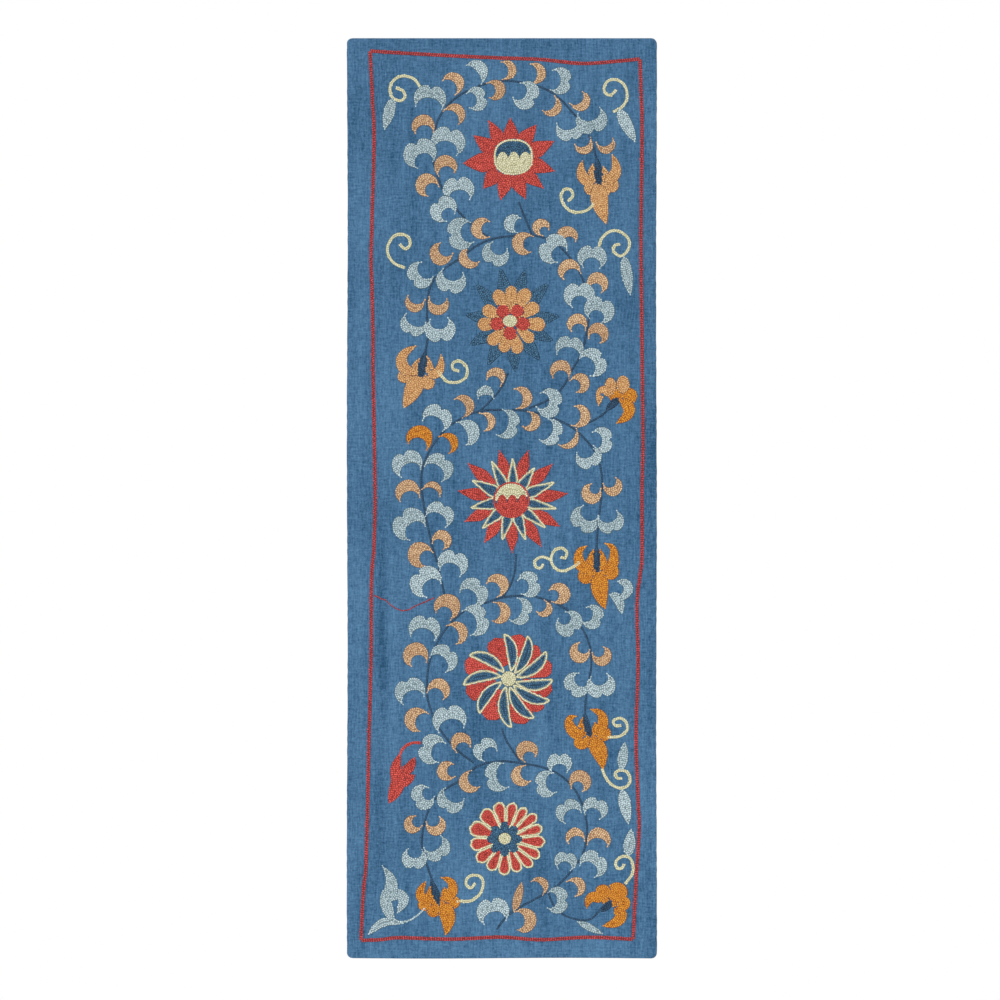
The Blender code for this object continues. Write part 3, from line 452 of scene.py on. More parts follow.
def stitchRun(motif, run, closed, width, thread, tint=0.5, lift=0.0, cuts=(), bed="plainBed",
              pitch=stitch["pitch"], overlap=stitch["overlap"]):
    # a row of chain stitches along a run, on a bed of the same thread, left out inside the cuts
    if closed:
        run = np.vstack([run, run[:1]])
    whole = lineLengths(run)[-1]
    if whole < stitch["shortest"]:
        return
    count = max(3 if closed else 1, round(whole / pitch))
    offset = chance.uniform(0, 1) if closed else 0.0
    at = (np.arange(count + 1) + offset) * whole / count
    nodes = pointsAlong(run, np.where(at > whole, at - whole, at) if closed else at)
    starts, ends = nodes[:-1], nodes[1:]
    keep = np.ones(count, bool)
    for outline in cuts:
        keep &= ~insideOutline((starts + ends) / 2, outline)
    if not keep.any():
        return
    # the bed, dark with painted shade in the gaps between links, and with painted deep shade along
    # the outer side of a motif
    side = sideways(nodes)
    leftShare, rightShare = stitch[bed]
    left, right = nodes + side * width * leftShare, nodes - side * width * rightShare
    places = np.column_stack([left, right]).reshape(-1, 2)
    index = np.flatnonzero(keep) * 2
    faces = np.column_stack([index, index + 1, index + 3, index + 2])
    spread = chance.uniform(0, stitch["bedSpread"])
    heights = np.full(len(places), stitch["bed"] + lift + spread)
    shades = np.tile((stitch["bedPaintedShade"], stitch["bedPaintedShade"], tint), (len(places), 1))
    # painted shade line along the outer side of the first row
    if bed == "firstBed":
        shades[0::2, 1] = 0.0
    addMesh(motif, places, heights, faces, thread, shades)
    # the links
    starts, ends = starts[keep], ends[keep]
    number = len(starts)
    run = ends - starts
    swing = np.arctan2(run[:, 1], run[:, 0]) + chance.normal(0, stitch["swing"], number)
    lengths = np.hypot(*run.T) * overlap
    begin = starts + chance.normal(0, stitch["wander"], (number, 2))
    ahead = np.column_stack([np.cos(swing), np.sin(swing)])
    across = np.column_stack([-np.sin(swing), np.cos(swing)])
    halves = width / 2 * (1 + chance.normal(0, stitch["uneven"], number))
    tall = stitch["height"] * (1 + chance.normal(0, stitch["uneven"], number))
    tone = chance.normal(stitch["tone"], stitch["toneSpread"], number)
    tone = np.clip(tone, 0, stitch["lightest"])
    # s is the painted light share: where it is low, the link gets the painted shade of its holes
    # and hollows
    v, w, h, u, g, s = np.array([(v, w, h, u, g, s * t) for v, w, h, t in linkStations
                                 for u, g, s in linkColumns]).T
    places = (begin[:, None] + ahead[:, None] * (v[None] * lengths[:, None])[..., None]
              + across[:, None] * (u[None] * w[None] * halves[:, None])[..., None])
    heights = lift + tall[:, None] * (h * g)[None]
    columns = len(linkColumns)
    corners = np.arange(len(u)).reshape(-1, columns)[:-1, :-1].ravel()
    quads = corners[:, None] + np.array([0, 1, columns + 1, columns])
    faces = quads[None] + np.arange(number)[:, None, None] * len(u)
    shades = np.stack([np.repeat(tone[:, None], len(u), 1), np.repeat(s[None], number, 0),
                       np.full((number, len(u)), tint)], axis=2)
    addMesh(motif, places.reshape(-1, 2), heights.ravel(), faces.reshape(-1, 4), thread,
            shades.reshape(-1, 3))
    motif["stitches"] += number


def fillShape(motif, outline, thread, tint=None, edging=None, cuts=(), lift=0.0, crown=0.0):
    # rows of stitches that follow the outline inward; edging gives thread and width of the
    # first one where they differ, crown is how much the middle stands higher
    tint = chance.uniform(0, 1) if tint is None else tint
    inset = 0.0
    for number in range(stitch["mostRows"]):
        edged = edging and number == 0
        rowThread, width = edging if edged else (thread, stitch["row"])
        steps = (stitch["edgePitch"], stitch["edgeOverlap"]) if edged else ()
        runs = rowsInside(outline, inset + width / 2)
        if not runs:
            return
        for run, closed in runs:
            stitchRun(motif, run, closed, width, rowThread, tint,
                      lift + crown * min(1.0, number / 3), cuts,
                      "nextBed" if number else "firstBed", *steps)
        inset += width


def fillPointed(motif, outline, thread, tint=None, cuts=(), tips=(0, 0.5)):
    # a filled shape with a slim stitch out to each pointed tip, where no full row fits
    tint = chance.uniform(0, 1) if tint is None else tint
    fillShape(motif, outline, thread, tint, cuts=cuts)
    count = len(outline)
    for tip in tips:
        index = int(tip * count)
        for step in range(1, count // 4):
            before, after = outline[index - step], outline[(index + step) % count]
            if math.dist(before, after) > stitch["tipWide"]:
                break
        run = np.array([(before + after) / 2, outline[index]])
        stitchRun(motif, run, False, stitch["tipRow"], thread, tint, cuts=cuts, bed="tipBed")


def stitchLine(motif, route, thread, width, rows=1, tint=0.5, cuts=(), smooth=True):
    # rows of stitches side by side along a line
    line = smoothLine(route) if smooth else route
    side = sideways(line)
    for row in range(rows):
        offset = (row - (rows - 1) / 2) * width
        stitchRun(motif, line + side * offset, False, width, thread, tint, cuts=cuts,
                  bed="lineBed", overlap=stitch["lineOverlap"])


def finishMotif(motif):
    # one joined mesh, hung with the cloth, that stands for its solid
    flat = np.vstack(motif["places"])
    x, z = toMetres(flat[:, :2])
    y = hangDepth(x, z) - cloth["thickness"] / 2 - flat[:, 2]
    made = arrayMesh(motif["name"], np.column_stack([x, y, z]), np.vstack(motif["faces"]),
                     np.vstack(motif["shades"]), "stitch")
    worked = np.concatenate(motif["threads"])
    used = np.unique(worked)
    for index in used:
        made.data.materials.append(finishes[threadOrder[index]])
    made.data.polygons.foreach_set("material_index",
                                   np.searchsorted(used, worked).astype(np.int32))
    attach(made, "root")
    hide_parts(*motif["nodes"])
    print(f"{motif['name']}: {motif['stitches']} stitches")
    return made


def arrayMesh(name, places, faces, shades, attribute):
    mesh = bpy.data.meshes.new(name)
    mesh.vertices.add(len(places))
    mesh.vertices.foreach_set("co", places.astype(np.float32).ravel())
    mesh.loops.add(faces.size)
    mesh.loops.foreach_set("vertex_index", faces.astype(np.int32).ravel())
    mesh.polygons.add(len(faces))
    starts = np.arange(0, faces.size, faces.shape[1], dtype=np.int32)
    mesh.polygons.foreach_set("loop_start", starts)
    mesh.update(calc_edges=True)
    mesh.polygons.foreach_set("use_smooth", np.ones(len(faces), bool))
    layer = mesh.attributes.new(attribute, "FLOAT_COLOR", "POINT")
    colours = np.column_stack([shades, np.ones(len(shades))]).astype(np.float32)
    layer.data.foreach_set("color", colours.ravel())
    return addObject(name, mesh)


# Camera: far back with a long lens, so that the cloth shows flat as in the photograph
view = dict(lens=150.0, sensor=36.0, wide=1000, middle=(500.0, 500.0))


def makeCamera():
    (x,), (z,) = toMetres([view["middle"]])
    camera = bpy.data.cameras.new("camera")
    camera.lens = view["lens"]
    camera.sensor_width = view["sensor"]
    camera.clip_end = 60
    placed = addObject("camera", camera)
    placed.location = (x, -view["lens"] / view["sensor"] * view["wide"] * unit, z)
    placed.rotation_euler = (math.pi / 2, 0, 0)
    bpy.context.scene.camera = placed


makeCamera()


# The ground cloth

clothShadeStreaks = (
    # soft streaks painted on the cloth, the darker ones painted crease shade and the paler ones
    # lighter patches: place, half width and half height, shade
    (382, 620, 5, 80, -0.22), (380, 825, 5, 70, -0.20), (356, 500, 9, 400, 0.10),
    (649, 440, 8, 70, -0.20), (500, 950, 140, 9, 0.10), (500, 44, 140, 6, -0.06),
)


def clothLines(whole, fine):
    # places of the grid lines along one side: close at both ends, even between
    middle = np.linspace(fine[-1], whole - fine[-1], round(whole / cloth["cell"]))
    return np.concatenate([fine[:-1], middle, whole - fine[-2::-1]])


def makeCloth():
    radius, wide, long = cloth["corner"], cloth["width"], cloth["length"]
    down = clothLines(long, np.array(cloth["closeDown"]))
    across = clothLines(wide, np.array(cloth["closeAcross"]))
    columns, rows = len(across), len(down)
    fromEnd = np.minimum(down, long - down)
    narrow = np.where(fromEnd < radius,
                      radius - np.sqrt(np.maximum(radius**2 - (radius - fromEnd)**2, 0)), 0.0)
    x = (across / wide * 2 - 1)[None] * (wide / 2 - narrow)[:, None]
    z = np.repeat(-down[:, None], columns, 1)
    edgeX = np.abs(x) / (wide / 2)
    edgeZ = np.abs(z + long / 2) / (long / 2)
    # the edges wander a little along their length, and are finely frayed at the sides
    wander = cloth["edgeWander"]
    fray = cloth["fray"] * np.sin(190 * z + 3 * np.sin(61 * z)) * edgeX**40
    x = x + wander * edgeX**4 * np.sin(9.0 * z + 2.0 * np.sign(x)) + fray
    z = z + wander * edgeZ**8 * np.sin(14.0 * x) * (z < -long / 2)
    hung = hangDepth(x, z)
    rim = np.ones((rows, columns), bool)
    rim[1:-1, 1:-1] = False
    thin = np.where(rim, cloth["edgeThin"], 1.0) * cloth["thickness"] / 2
    front, back = (np.stack([x, y, z], axis=2).reshape(-1, 3) for y in (hung - thin, hung + thin))
    index = np.arange(rows * columns).reshape(rows, columns)
    quads = np.stack([index[:-1, :-1], index[1:, :-1], index[1:, 1:], index[:-1, 1:]], axis=2)
    quads = quads.reshape(-1, 4)
    ring = np.concatenate([index[0], index[1:, -1], index[-1, -2::-1], index[-2:0:-1, 0]])
    after = np.roll(ring, -1)
    joined = np.column_stack([ring, after, after + index.size, ring + index.size])
    faces = np.vstack([quads, quads[:, ::-1] + index.size, joined])
    chartX = x / unit + chartMiddle
    chartY = chart["top"] - z / unit
    # painted shade along the rim, then the painted streaks listed above
    shade = 0.5 - cloth["edgeShade"] * rim
    for markX, markY, halfWide, halfHigh, darker in clothShadeStreaks:
        near = ((chartX - markX) / halfWide)**4 + ((chartY - markY) / halfHigh)**4
        shade = shade + darker * np.exp(-near)
    shades = np.repeat(np.tile(shade.ravel(), 2)[:, None], 3, 1)
    made = arrayMesh("groundCloth", np.vstack([front, back]), faces, shades, "shade")
    made.data.materials.append(finishes["blueCotton"])
    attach(made, "root")
    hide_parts("ground_cloth")
    print(f"ground cloth: {len(faces)} faces")
    return made


# The red border, clockwise from the top left corner, and a loose line of red stitches
border = dict(
    row=1.75, pitch=2.3, overlap=0.94, short=0.6, corners=(0, 7, 25, 32),
    route=((370, 51), (392, 52.5), (455, 56), (500, 58), (540, 59.5), (582, 63.5), (620, 61),
    (640, 59), (641, 90), (642, 130), (641, 240), (642, 340), (643, 440), (642, 490), (642, 555),
    (640, 575), (637.5, 595), (637, 620), (638, 660), (637, 700), (636, 740), (638, 800),
    (639, 830), (636, 880), (634.5, 910), (633, 939), (590, 937), (540, 939.5), (500, 937),
    (450, 939), (400, 937.5), (380, 939.5), (361, 940), (363.5, 890), (366, 865), (368, 790),
    (369, 740), (371, 660), (371.5, 580), (374, 545), (375, 490), (373, 370), (373, 340),
    (372, 290), (371, 260), (372, 220), (374, 140), (372.5, 100)), strayRow=0.95,
    stray=((374, 595), (379, 598), (385, 600), (392, 606), (400, 610), (408, 610), (415, 606),
    (425, 602), (434, 598)),
)


def makeBorder():
    motif = newMotif("redBorder", "red_thread", "border_line")
    route = [*border["route"], border["route"][0]]
    stops = [*border["corners"], len(route) - 1]
    for first, last in zip(stops, stops[1:]):
        line = smoothLine(route[first:last + 1])
        side = sideways(line)
        for sign in (-0.5, 0.5):
            offset = line + side * sign * border["row"]
            offset = cutLine(offset, border["short"] * sign, border["short"] * sign)
            stitchRun(motif, offset, False, border["row"], "borderThread", bed="lineBed",
                      pitch=border["pitch"], overlap=border["overlap"])
    stitchLine(motif, border["stray"], "borderThread", border["strayRow"])
    return finishMotif(motif)


# Branches: route from the base to the hanging flower and how much is left off at both ends;
# leaves as kind, side of the vine, x and y of root and outer horn, reach to the crown;
# stalks from a medallion or a side shoot
vine = dict(row=1.9, stalkRow=1.75)
branches = dict(
    branch1=dict(
        trim=(2, 0),
        route=((490, 238), (478, 230), (468, 221), (458, 211), (450, 201), (443, 190), (437, 175),
        (433, 160), (433, 145), (435, 130), (440, 116), (450, 103), (465, 92), (485, 84),
        (505, 81), (525, 83), (545, 89), (560, 99), (572, 112), (583, 125), (590, 138), (595, 153),
        (598, 168)),
        leaves=(("p", -1, 455, 213, 446, 221, 23), ("p", 1, 449, 201, 470, 199, 24),
        ("a", -1, 439, 186, 427, 196, 20), ("a", 1, 438, 176, 455, 172, 19),
        ("p", -1, 433, 161, 417, 168, 27), ("p", 1, 434, 149, 457, 155, 26),
        ("a", -1, 434, 132, 415, 133, 18), ("a", 1, 443, 111, 459, 124, 15.5),
        ("p", -1, 442, 109, 416, 106, 23), ("p", 1, 467, 93, 470, 108, 19),
        ("a", -1, 456, 95, 443, 80, 16.5), ("a", 1, 487, 83, 490, 98, 17),
        ("c", -1, 482, 84, 467, 65, 15), ("p", 1, 521, 83, 513, 98, 23),
        ("a", -1, 503, 80, 502, 62, 14), ("a", 1, 555, 96, 543, 111, 14),
        ("a", -1, 531, 84, 531, 64, 15), ("p", -1, 551, 90, 553, 70, 20),
        ("a", -1, 570, 104, 583, 92, 15), ("p", 1, 579, 119, 557, 124, 20),
        ("p", -1, 578, 114, 600, 108, 23.5), ("a", 1, 591, 138, 575, 145, 13),
        ("a", -1, 596, 143, 613, 139, 13)),
    ),
    branch2=dict(
        trim=(2, 4),
        route=((527, 409), (548, 400), (562, 388), (572, 370), (581, 354), (586, 336), (589, 316),
        (588, 297), (583, 280), (574, 263), (560, 247), (545, 238), (530, 235), (510, 236),
        (492, 239), (476, 246), (460, 258), (444, 269), (433, 281), (428, 296), (427, 315),
        (428, 335), (425, 353), (421, 372)),
        stalks=(((519, 202), (523, 213), (528, 225), (532, 235)),),
        leaves=(("p", -1, 537, 407, 541, 393, 24), ("a", 1, 570, 380, 577, 392, 17),
        ("a", -1, 569, 378, 553, 377, 17.5), ("p", -1, 580, 357, 557, 354, 20),
        ("p", 1, 580, 358, 591, 376, 22), ("a", -1, 586, 330, 571, 331, 17),
        ("a", 1, 588, 338, 601, 343, 18.5), ("p", -1, 588, 306, 572, 307, 25),
        ("p", 1, 589, 318, 601, 323, 25), ("a", -1, 581, 273, 563, 279, 17.5),
        ("a", 1, 589, 290, 602, 292, 19), ("p", -1, 567, 250, 557, 262, 25),
        ("p", 1, 583, 267, 600, 268, 23), ("a", 1, 564, 247, 576, 241, 18.5),
        ("a", -1, 533, 236, 530, 252, 19.5), ("a", 1, 542, 236, 549, 229, 15.5),
        ("c", 1, 517, 233, 520, 218, 15), ("p", -1, 492, 242, 507, 249, 21.5),
        ("a", 1, 489, 237.5, 489, 221, 18), ("p", 1, 473, 242, 470, 222, 25),
        ("a", -1, 469, 246, 479, 262, 16.5), ("a", 1, 453, 254, 440, 243, 19),
        ("p", -1, 443, 269, 463, 273, 23), ("p", 1, 433, 277, 421, 262, 21),
        ("a", 1, 425, 300, 408, 296, 14.5), ("a", -1, 429, 297, 447, 299, 17),
        ("p", 1, 426, 323, 406, 314, 18), ("p", -1, 430, 320, 448, 318, 24)),
    ),
    branch3=dict(
        trim=(14, 11),
        route=((449, 618), (446, 605), (443, 588), (438, 565), (432, 545), (427, 522), (423, 500),
        (421, 482), (424, 463), (433, 445), (446, 429), (462, 418), (480, 411), (505, 410),
        (528, 411), (550, 417), (570, 426), (586, 440), (597, 456), (602, 478), (601, 500),
        (598, 525), (596, 565)),
        stalks=(((508, 373), (503, 385), (494, 397), (480, 411)), ((576, 428), (590, 422),
        (602, 415), (614, 404))),
        leaves=(("p", -1, 441, 583, 426, 597, 26), ("p", 1, 440, 570, 460, 576, 23.5),
        ("a", -1, 433, 552, 424, 566, 22), ("a", 1, 432, 543, 444, 549, 17),
        ("p", -1, 425, 526, 409, 540, 27), ("p", 1, 426, 516, 446, 527, 20.5),
        ("a", -1, 420, 497, 400, 501, 19.5), ("a", 1, 422, 489, 440, 496, 11.5),
        ("p", -1, 421, 469, 401, 477, 23.5), ("p", 1, 425, 466, 442, 481, 21.5),
        ("o", -1, 427, 450, 408, 443, 21.5), ("o", 1, 439, 436, 450, 453, 14),
        ("p", -1, 443, 431, 423, 420, 22), ("c", 1, 457, 422, 467, 445, 18),
        ("a", -1, 463, 418, 455, 399, 16), ("a", 1, 480, 413, 485, 431, 13),
        ("p", 1, 503, 410, 497, 435, 20), ("a", 1, 528, 411, 523, 427, 15.5),
        ("a", -1, 517, 409, 515, 389, 16.5), ("p", 1, 549, 419, 540, 440, 18.5),
        ("a", -1, 572, 426, 575, 406, 17), ("a", 1, 577, 429, 559, 445, 11.5),
        ("p", -1, 594, 449, 593, 432, 20), ("p", 1, 594, 446, 577, 453, 20),
        ("a", -1, 603, 484, 616, 478, 16), ("a", 1, 601, 489, 591, 484, 18.5),
        ("p", -1, 599, 517, 617, 511, 20), ("p", 1, 598, 516, 583, 506, 23),
        ("a", -1, 501, 386, 487, 379, 15.5), ("c", -1, 494, 398, 478, 398, 12.5)),
    ),
    branch4=dict(
        trim=(5, 6),
        route=((478, 765), (462, 754), (447, 739), (435, 720), (428, 700), (427, 682), (430, 660),
        (438, 641), (450, 624), (466, 610), (485, 603), (505, 597), (530, 596), (552, 602),
        (570, 612), (582, 628), (590, 647), (591, 668), (587, 690), (585, 712), (588, 727)),
        stalks=(((516, 554), (515, 570), (511, 584), (503, 597)),),
        leaves=(("a", 1, 456, 752, 470, 746, 17), ("p", -1, 445, 743, 438, 762, 23.5),
        ("p", 1, 439, 732, 464, 727, 25), ("a", -1, 428, 713, 419, 731, 19.5),
        ("p", -1, 424, 696, 403, 704, 23), ("a", 1, 427, 692, 444, 699, 18),
        ("a", -1, 427, 662, 411, 666, 22), ("p", 1, 430, 657, 446, 672, 21.5),
        ("p", -1, 435, 640, 411, 636, 23), ("a", 1, 447, 625, 457, 644, 16),
        ("a", -1, 451, 620, 436, 612, 23), ("p", 1, 463, 611, 471, 635, 22.5),
        ("p", -1, 474, 606, 460, 592, 23), ("a", 1, 494, 602, 493, 621, 17),
        ("a", -1, 498, 597, 487, 583, 18.5), ("p", -1, 522, 594, 518, 580, 21),
        ("p", 1, 518, 598, 510, 620, 18.5), ("a", -1, 552, 602, 550, 590, 19.5),
        ("a", 1, 545, 600, 537, 612, 12.5), ("p", -1, 582, 621, 587, 607, 19.5),
        ("p", 1, 566, 612, 558, 619, 23), ("a", -1, 592, 653, 604, 647, 17),
        ("a", 1, 590, 650, 579, 643, 18), ("p", -1, 591, 677, 607, 674, 23),
        ("p", 1, 588, 683, 578, 673, 21)),
    ),
    branch5=dict(
        trim=(0, 4),
        route=((497, 929), (506, 917), (522, 906), (542, 895), (560, 883), (575, 866), (584, 850),
        (587, 830), (584, 810), (575, 790), (560, 775), (542, 767), (520, 763), (500, 761),
        (478, 766), (462, 779), (444, 790), (431, 805), (424, 825), (422, 847), (428, 868),
        (437, 893)),
        stalks=(((502, 729), (506, 740), (513, 751), (521, 763)), ((548, 892), (556, 909),
        (572, 918), (590, 919), (602, 907))),
        leaves=(("p", -1, 506, 920, 484, 924, 25), ("a", 1, 515, 911, 518, 930, 20),
        ("a", -1, 543, 895, 532, 881, 12), ("p", 1, 548, 892, 548, 908, 21),
        ("a", 1, 567, 881, 576, 896, 14.5), ("p", -1, 571, 870, 558, 868, 18),
        ("p", 1, 580, 865, 595, 877, 22), ("a", -1, 585, 840, 568, 843, 14),
        ("a", 1, 587, 844, 608, 846, 17.5), ("p", -1, 581, 812, 565, 823, 19.5),
        ("p", 1, 585, 814, 600, 819, 20), ("a", 1, 571, 788, 583, 791, 20),
        ("p", -1, 553, 773, 556, 792, 20), ("p", 1, 552, 772, 567, 772, 19.5),
        ("a", 1, 524, 762, 536, 756, 19), ("a", -1, 525, 765, 530, 781, 17),
        ("p", 1, 484, 761, 497, 750, 19), ("p", -1, 503, 763, 508, 787, 21),
        ("a", 1, 455, 777, 453, 764, 17), ("a", -1, 471, 770, 479, 787, 17),
        ("p", 1, 434, 797, 428, 787, 21), ("p", -1, 445, 788, 464, 799, 20),
        ("a", 1, 422, 826, 415, 816, 15.5), ("a", -1, 426, 822, 440, 817, 16.5),
        ("p", 1, 422, 850, 408, 849, 20), ("p", -1, 424, 848, 441, 836, 20)),
    ),
)
# Small leaves and stems of several motifs: blades are half width, where it is fullest and
# route; a stem is width of a row, rows and route
extras = dict(
    redBud=dict(
        thread="redThread",
        blades=((7.2, 1.25, ((401, 752), (396, 767), (398, 783), (389, 803))),
        (5.0, 0.9, ((396, 773), (408, 769), (415, 757))), (5.6, 0.9, ((394, 784), (404, 781),
        (415, 775)))),
        stem=(1.3, 2, ((421, 743), (414, 742.5), (407, 745), (402, 750), (399, 758))),
    ),
    cornerSpray=dict(
        thread="paleThread",
        blades=((6.4, 1.5, ((382, 865), (391, 880), (390, 903))), (6.2, 0.9, ((393, 882),
        (386, 901), (394, 924))), (5.6, 0.9, ((387, 902), (397, 894), (404, 900), (397, 913))),
        (4.2, 0.9, ((368, 934), (384, 922), (404, 923)))),
        stem=(1.9, 1, ((425, 908), (421, 912), (415, 917), (407, 921), (396, 922))),
    ),
    looseLeaf=dict(
        thread="paleThread",
        blades=((4.8, 0.9, ((617, 581), (627, 584), (627, 593), (617, 601))),
        (5.0, 0.9, ((609, 594), (618, 599), (622, 614)))),
    ),
    lowLeaf=dict(
        thread="paleThread",
        blades=((3.6, 0.9, ((577, 921), (603, 934))),),
    ),
    branch5=dict(
        thread="apricotThread",
        blades=((4.4, 0.9, ((514, 912), (522, 882))),),
    ),
    tendril9=dict(
        thread="paleThread",
        blades=((5.2, 0.9, ((621, 771), (625, 742))),),
    ),
    tendril7=dict(
        thread="creamThread",
        stem=(1.4, 2, ((552, 561), (547, 558), (541, 557), (535, 561), (536, 567), (541, 568),
        (543, 564))),
    ),
)


def addExtras(motif):
    extra = extras.get(motif["name"], {})
    outlines = []
    for half, fullest, route in extra.get("blades", ()):
        outline = bladeOutline(route, half, fullest)
        fillPointed(motif, outline, extra["thread"], cuts=outlines)
        outlines.append(outline)
    if "stem" in extra:
        row, rows, route = extra["stem"]
        stitchLine(motif, route, extra["thread"], row, rows, cuts=outlines)


allLeaves = {name: [leafOutline(*leaf) for leaf in branch["leaves"]]
             for name, branch in branches.items()}


def makeBranch(name, branch):
    # leaves first, then the vine and stalks wherever no leaf of any branch lies over them
    motif = newMotif(name, "pale_thread")
    outlines = []
    for leaf, outline in zip(branch["leaves"], allLeaves[name]):
        fillPointed(motif, outline, leafKinds[leaf[0]]["thread"], cuts=outlines)
        outlines.append(outline)
    over = [outline for leaves in allLeaves.values() for outline in leaves]
    line = cutLine(smoothLine(branch["route"]), *branch["trim"])
    stitchLine(motif, line, "vineThread", vine["row"], cuts=over, smooth=False)
    for stalk in branch.get("stalks", ()):
        stitchLine(motif, stalk, "vineThread", vine["stalkRow"], cuts=over)
    addExtras(motif)
    return finishMotif(motif)


# Flowers: blades (half width, route) are the curled horns, the spikes beside the calyx and,
# last, the tail; lobes are x, y, half width and half height; throat is the dark calyx
flowerShape = dict(calyx=(1.3, 0.6), blade=(0.62, 0.75), calyxTint=0.2)   # fullest, blunt
flowers = dict(
    flower1=dict(
        thread="goldThread", tint=0.5,
        throat=((597, 157), (599.5, 186)), throatHalf=4.0,
        blades=((5.6, ((594, 184), (583.5, 178), (581, 169), (582.5, 160))), (5.6, ((605, 183),
        (614.5, 175), (616, 166), (612, 154))), (4.6, ((591, 185), (592.5, 163.5))),
        (4.4, ((608, 184), (603, 166))), (8.8, ((599, 184), (600, 203), (606.5, 224)))),
        lobes=((591, 187.5, 7.0, 7.6), (612, 185, 6.8, 7.4), (600.5, 190, 10, 8.5)),
    ),
    flower2=dict(
        thread="goldThread", tint=0.4,
        throat=((426, 350), (423, 362), (420, 378)), throatHalf=4.2,
        blades=((5.8, ((414, 374), (404, 368), (401.5, 359), (407, 351), (416.5, 346))),
        (4.8, ((427, 375), (437, 373), (441, 365), (441, 354))), (4.4, ((412, 376), (419.5, 358))),
        (4.2, ((431, 376), (427, 355.5))), (8.8, ((419, 376), (412, 392), (403.5, 408)))),
        lobes=((404.5, 376.5, 7.0, 6.4), (428, 382, 6.8, 7.6), (416.5, 378, 9, 8)),
    ),
    flower3=dict(
        thread="orangeThread", tint=0.5,
        throat=((596.5, 545), (597, 573)), throatHalf=3.6,
        blades=((5.6, ((593, 571), (581.5, 566), (578.5, 557), (580.5, 550), (587, 546))),
        (5.2, ((602, 570), (612, 566), (614, 556), (612.5, 547.5), (604.5, 543))),
        (5.0, ((589, 572), (593.5, 549))), (4.8, ((605, 572), (600, 549))), (8.8, ((600, 573),
        (600, 591), (605, 609)))),
        lobes=((586, 576, 8.2, 7.8), (611, 571.5, 7.8, 8.2), (598, 574, 10, 9)),
    ),
    flower4=dict(
        thread="orangeThread", tint=0.5,
        throat=((584, 711), (586.5, 724), (590.5, 738)), throatHalf=3.2,
        blades=((5.8, ((584, 737), (573, 731), (569, 723), (570.5, 717.5), (577, 716))),
        (5.4, ((595, 735), (602, 727), (602.5, 717), (598.5, 712), (590, 709))), (4.8, ((581, 739),
        (582.5, 717))), (4.4, ((597, 736), (595, 722))), (8.2, ((593, 739), (600, 753),
        (603, 769)))),
        lobes=((581.5, 742, 7.8, 7.4), (603.5, 733.5, 7.4, 7.6), (592, 740, 10, 8)),
    ),
    flower5=dict(
        thread="orangeThread", tint=0.6,
        throat=((430.5, 878), (435, 891), (439, 904.5)), throatHalf=3.6,
        blades=((5.2, ((433, 902), (423, 899), (420.5, 891), (426, 881))), (5.2, ((443, 899),
        (451.5, 893), (452.5, 885), (449, 880), (441, 877))), (4.8, ((430, 903), (432, 883))),
        (4.4, ((446, 901), (444, 887))), (7.8, ((443, 903), (448, 918), (446, 935)))),
        lobes=((424.5, 904, 6.6, 6.6), (433.5, 910, 6.8, 7.0), (452.5, 902, 7.6, 6.6),
        (441, 905, 9, 8)),
    ),
    flower6=dict(
        thread="orangeThread", tint=0.5,
        throat=((600.5, 912), (612, 901)), throatHalf=3.6,
        blades=((5.2, ((603, 900), (594, 896.5), (588.5, 900), (586.5, 908.5))), (6.0, ((614, 908),
        (621, 914), (616, 922), (602.5, 926)))),
        lobes=((603, 891.5, 7.6, 7.2), (617, 892, 10.5, 9.8), (623.5, 903, 6.8, 7.0),
        (619.5, 911.5, 6.4, 5.6), (611, 899, 9.5, 8)),
    ),
    flower7=dict(
        thread="orangeThread", tint=0.6, pale=(0, 2, 3),
        throat=((605, 411), (619.5, 398)), throatHalf=3.6,
        blades=((5.0, ((612, 395), (604, 390.5), (600, 395), (598.5, 406))), (5.8, ((621, 401),
        (629, 407), (627, 416), (616, 423.5)))),
        lobes=((610.5, 386, 5.6, 8.6), (623, 384.5, 6.6, 8.8), (630, 396, 7.2, 8.0),
        (618, 396, 9, 7)),
    ),
)


def makeFlower(name, flower):
    motif = newMotif(name, "orange_thread")
    calyx = bladeOutline(flower["throat"], flower["throatHalf"], *flowerShape["calyx"])
    fillShape(motif, calyx, "vineThread", flowerShape["calyxTint"])
    outlines = [bladeOutline(route, half, *flowerShape["blade"])
                for half, route in flower["blades"]]
    outlines += [ovalOutline(*lobe, count=28) for lobe in flower["lobes"]]
    above = [calyx]
    for number, outline in enumerate(outlines):
        thread = "goldThread" if number in flower.get("pale", ()) else flower["thread"]
        tips = (0.5,) if number < len(flower["blades"]) else ()
        fillPointed(motif, outline, thread, flower["tint"], above, tips)
        above.append(outline)
    return finishMotif(motif)


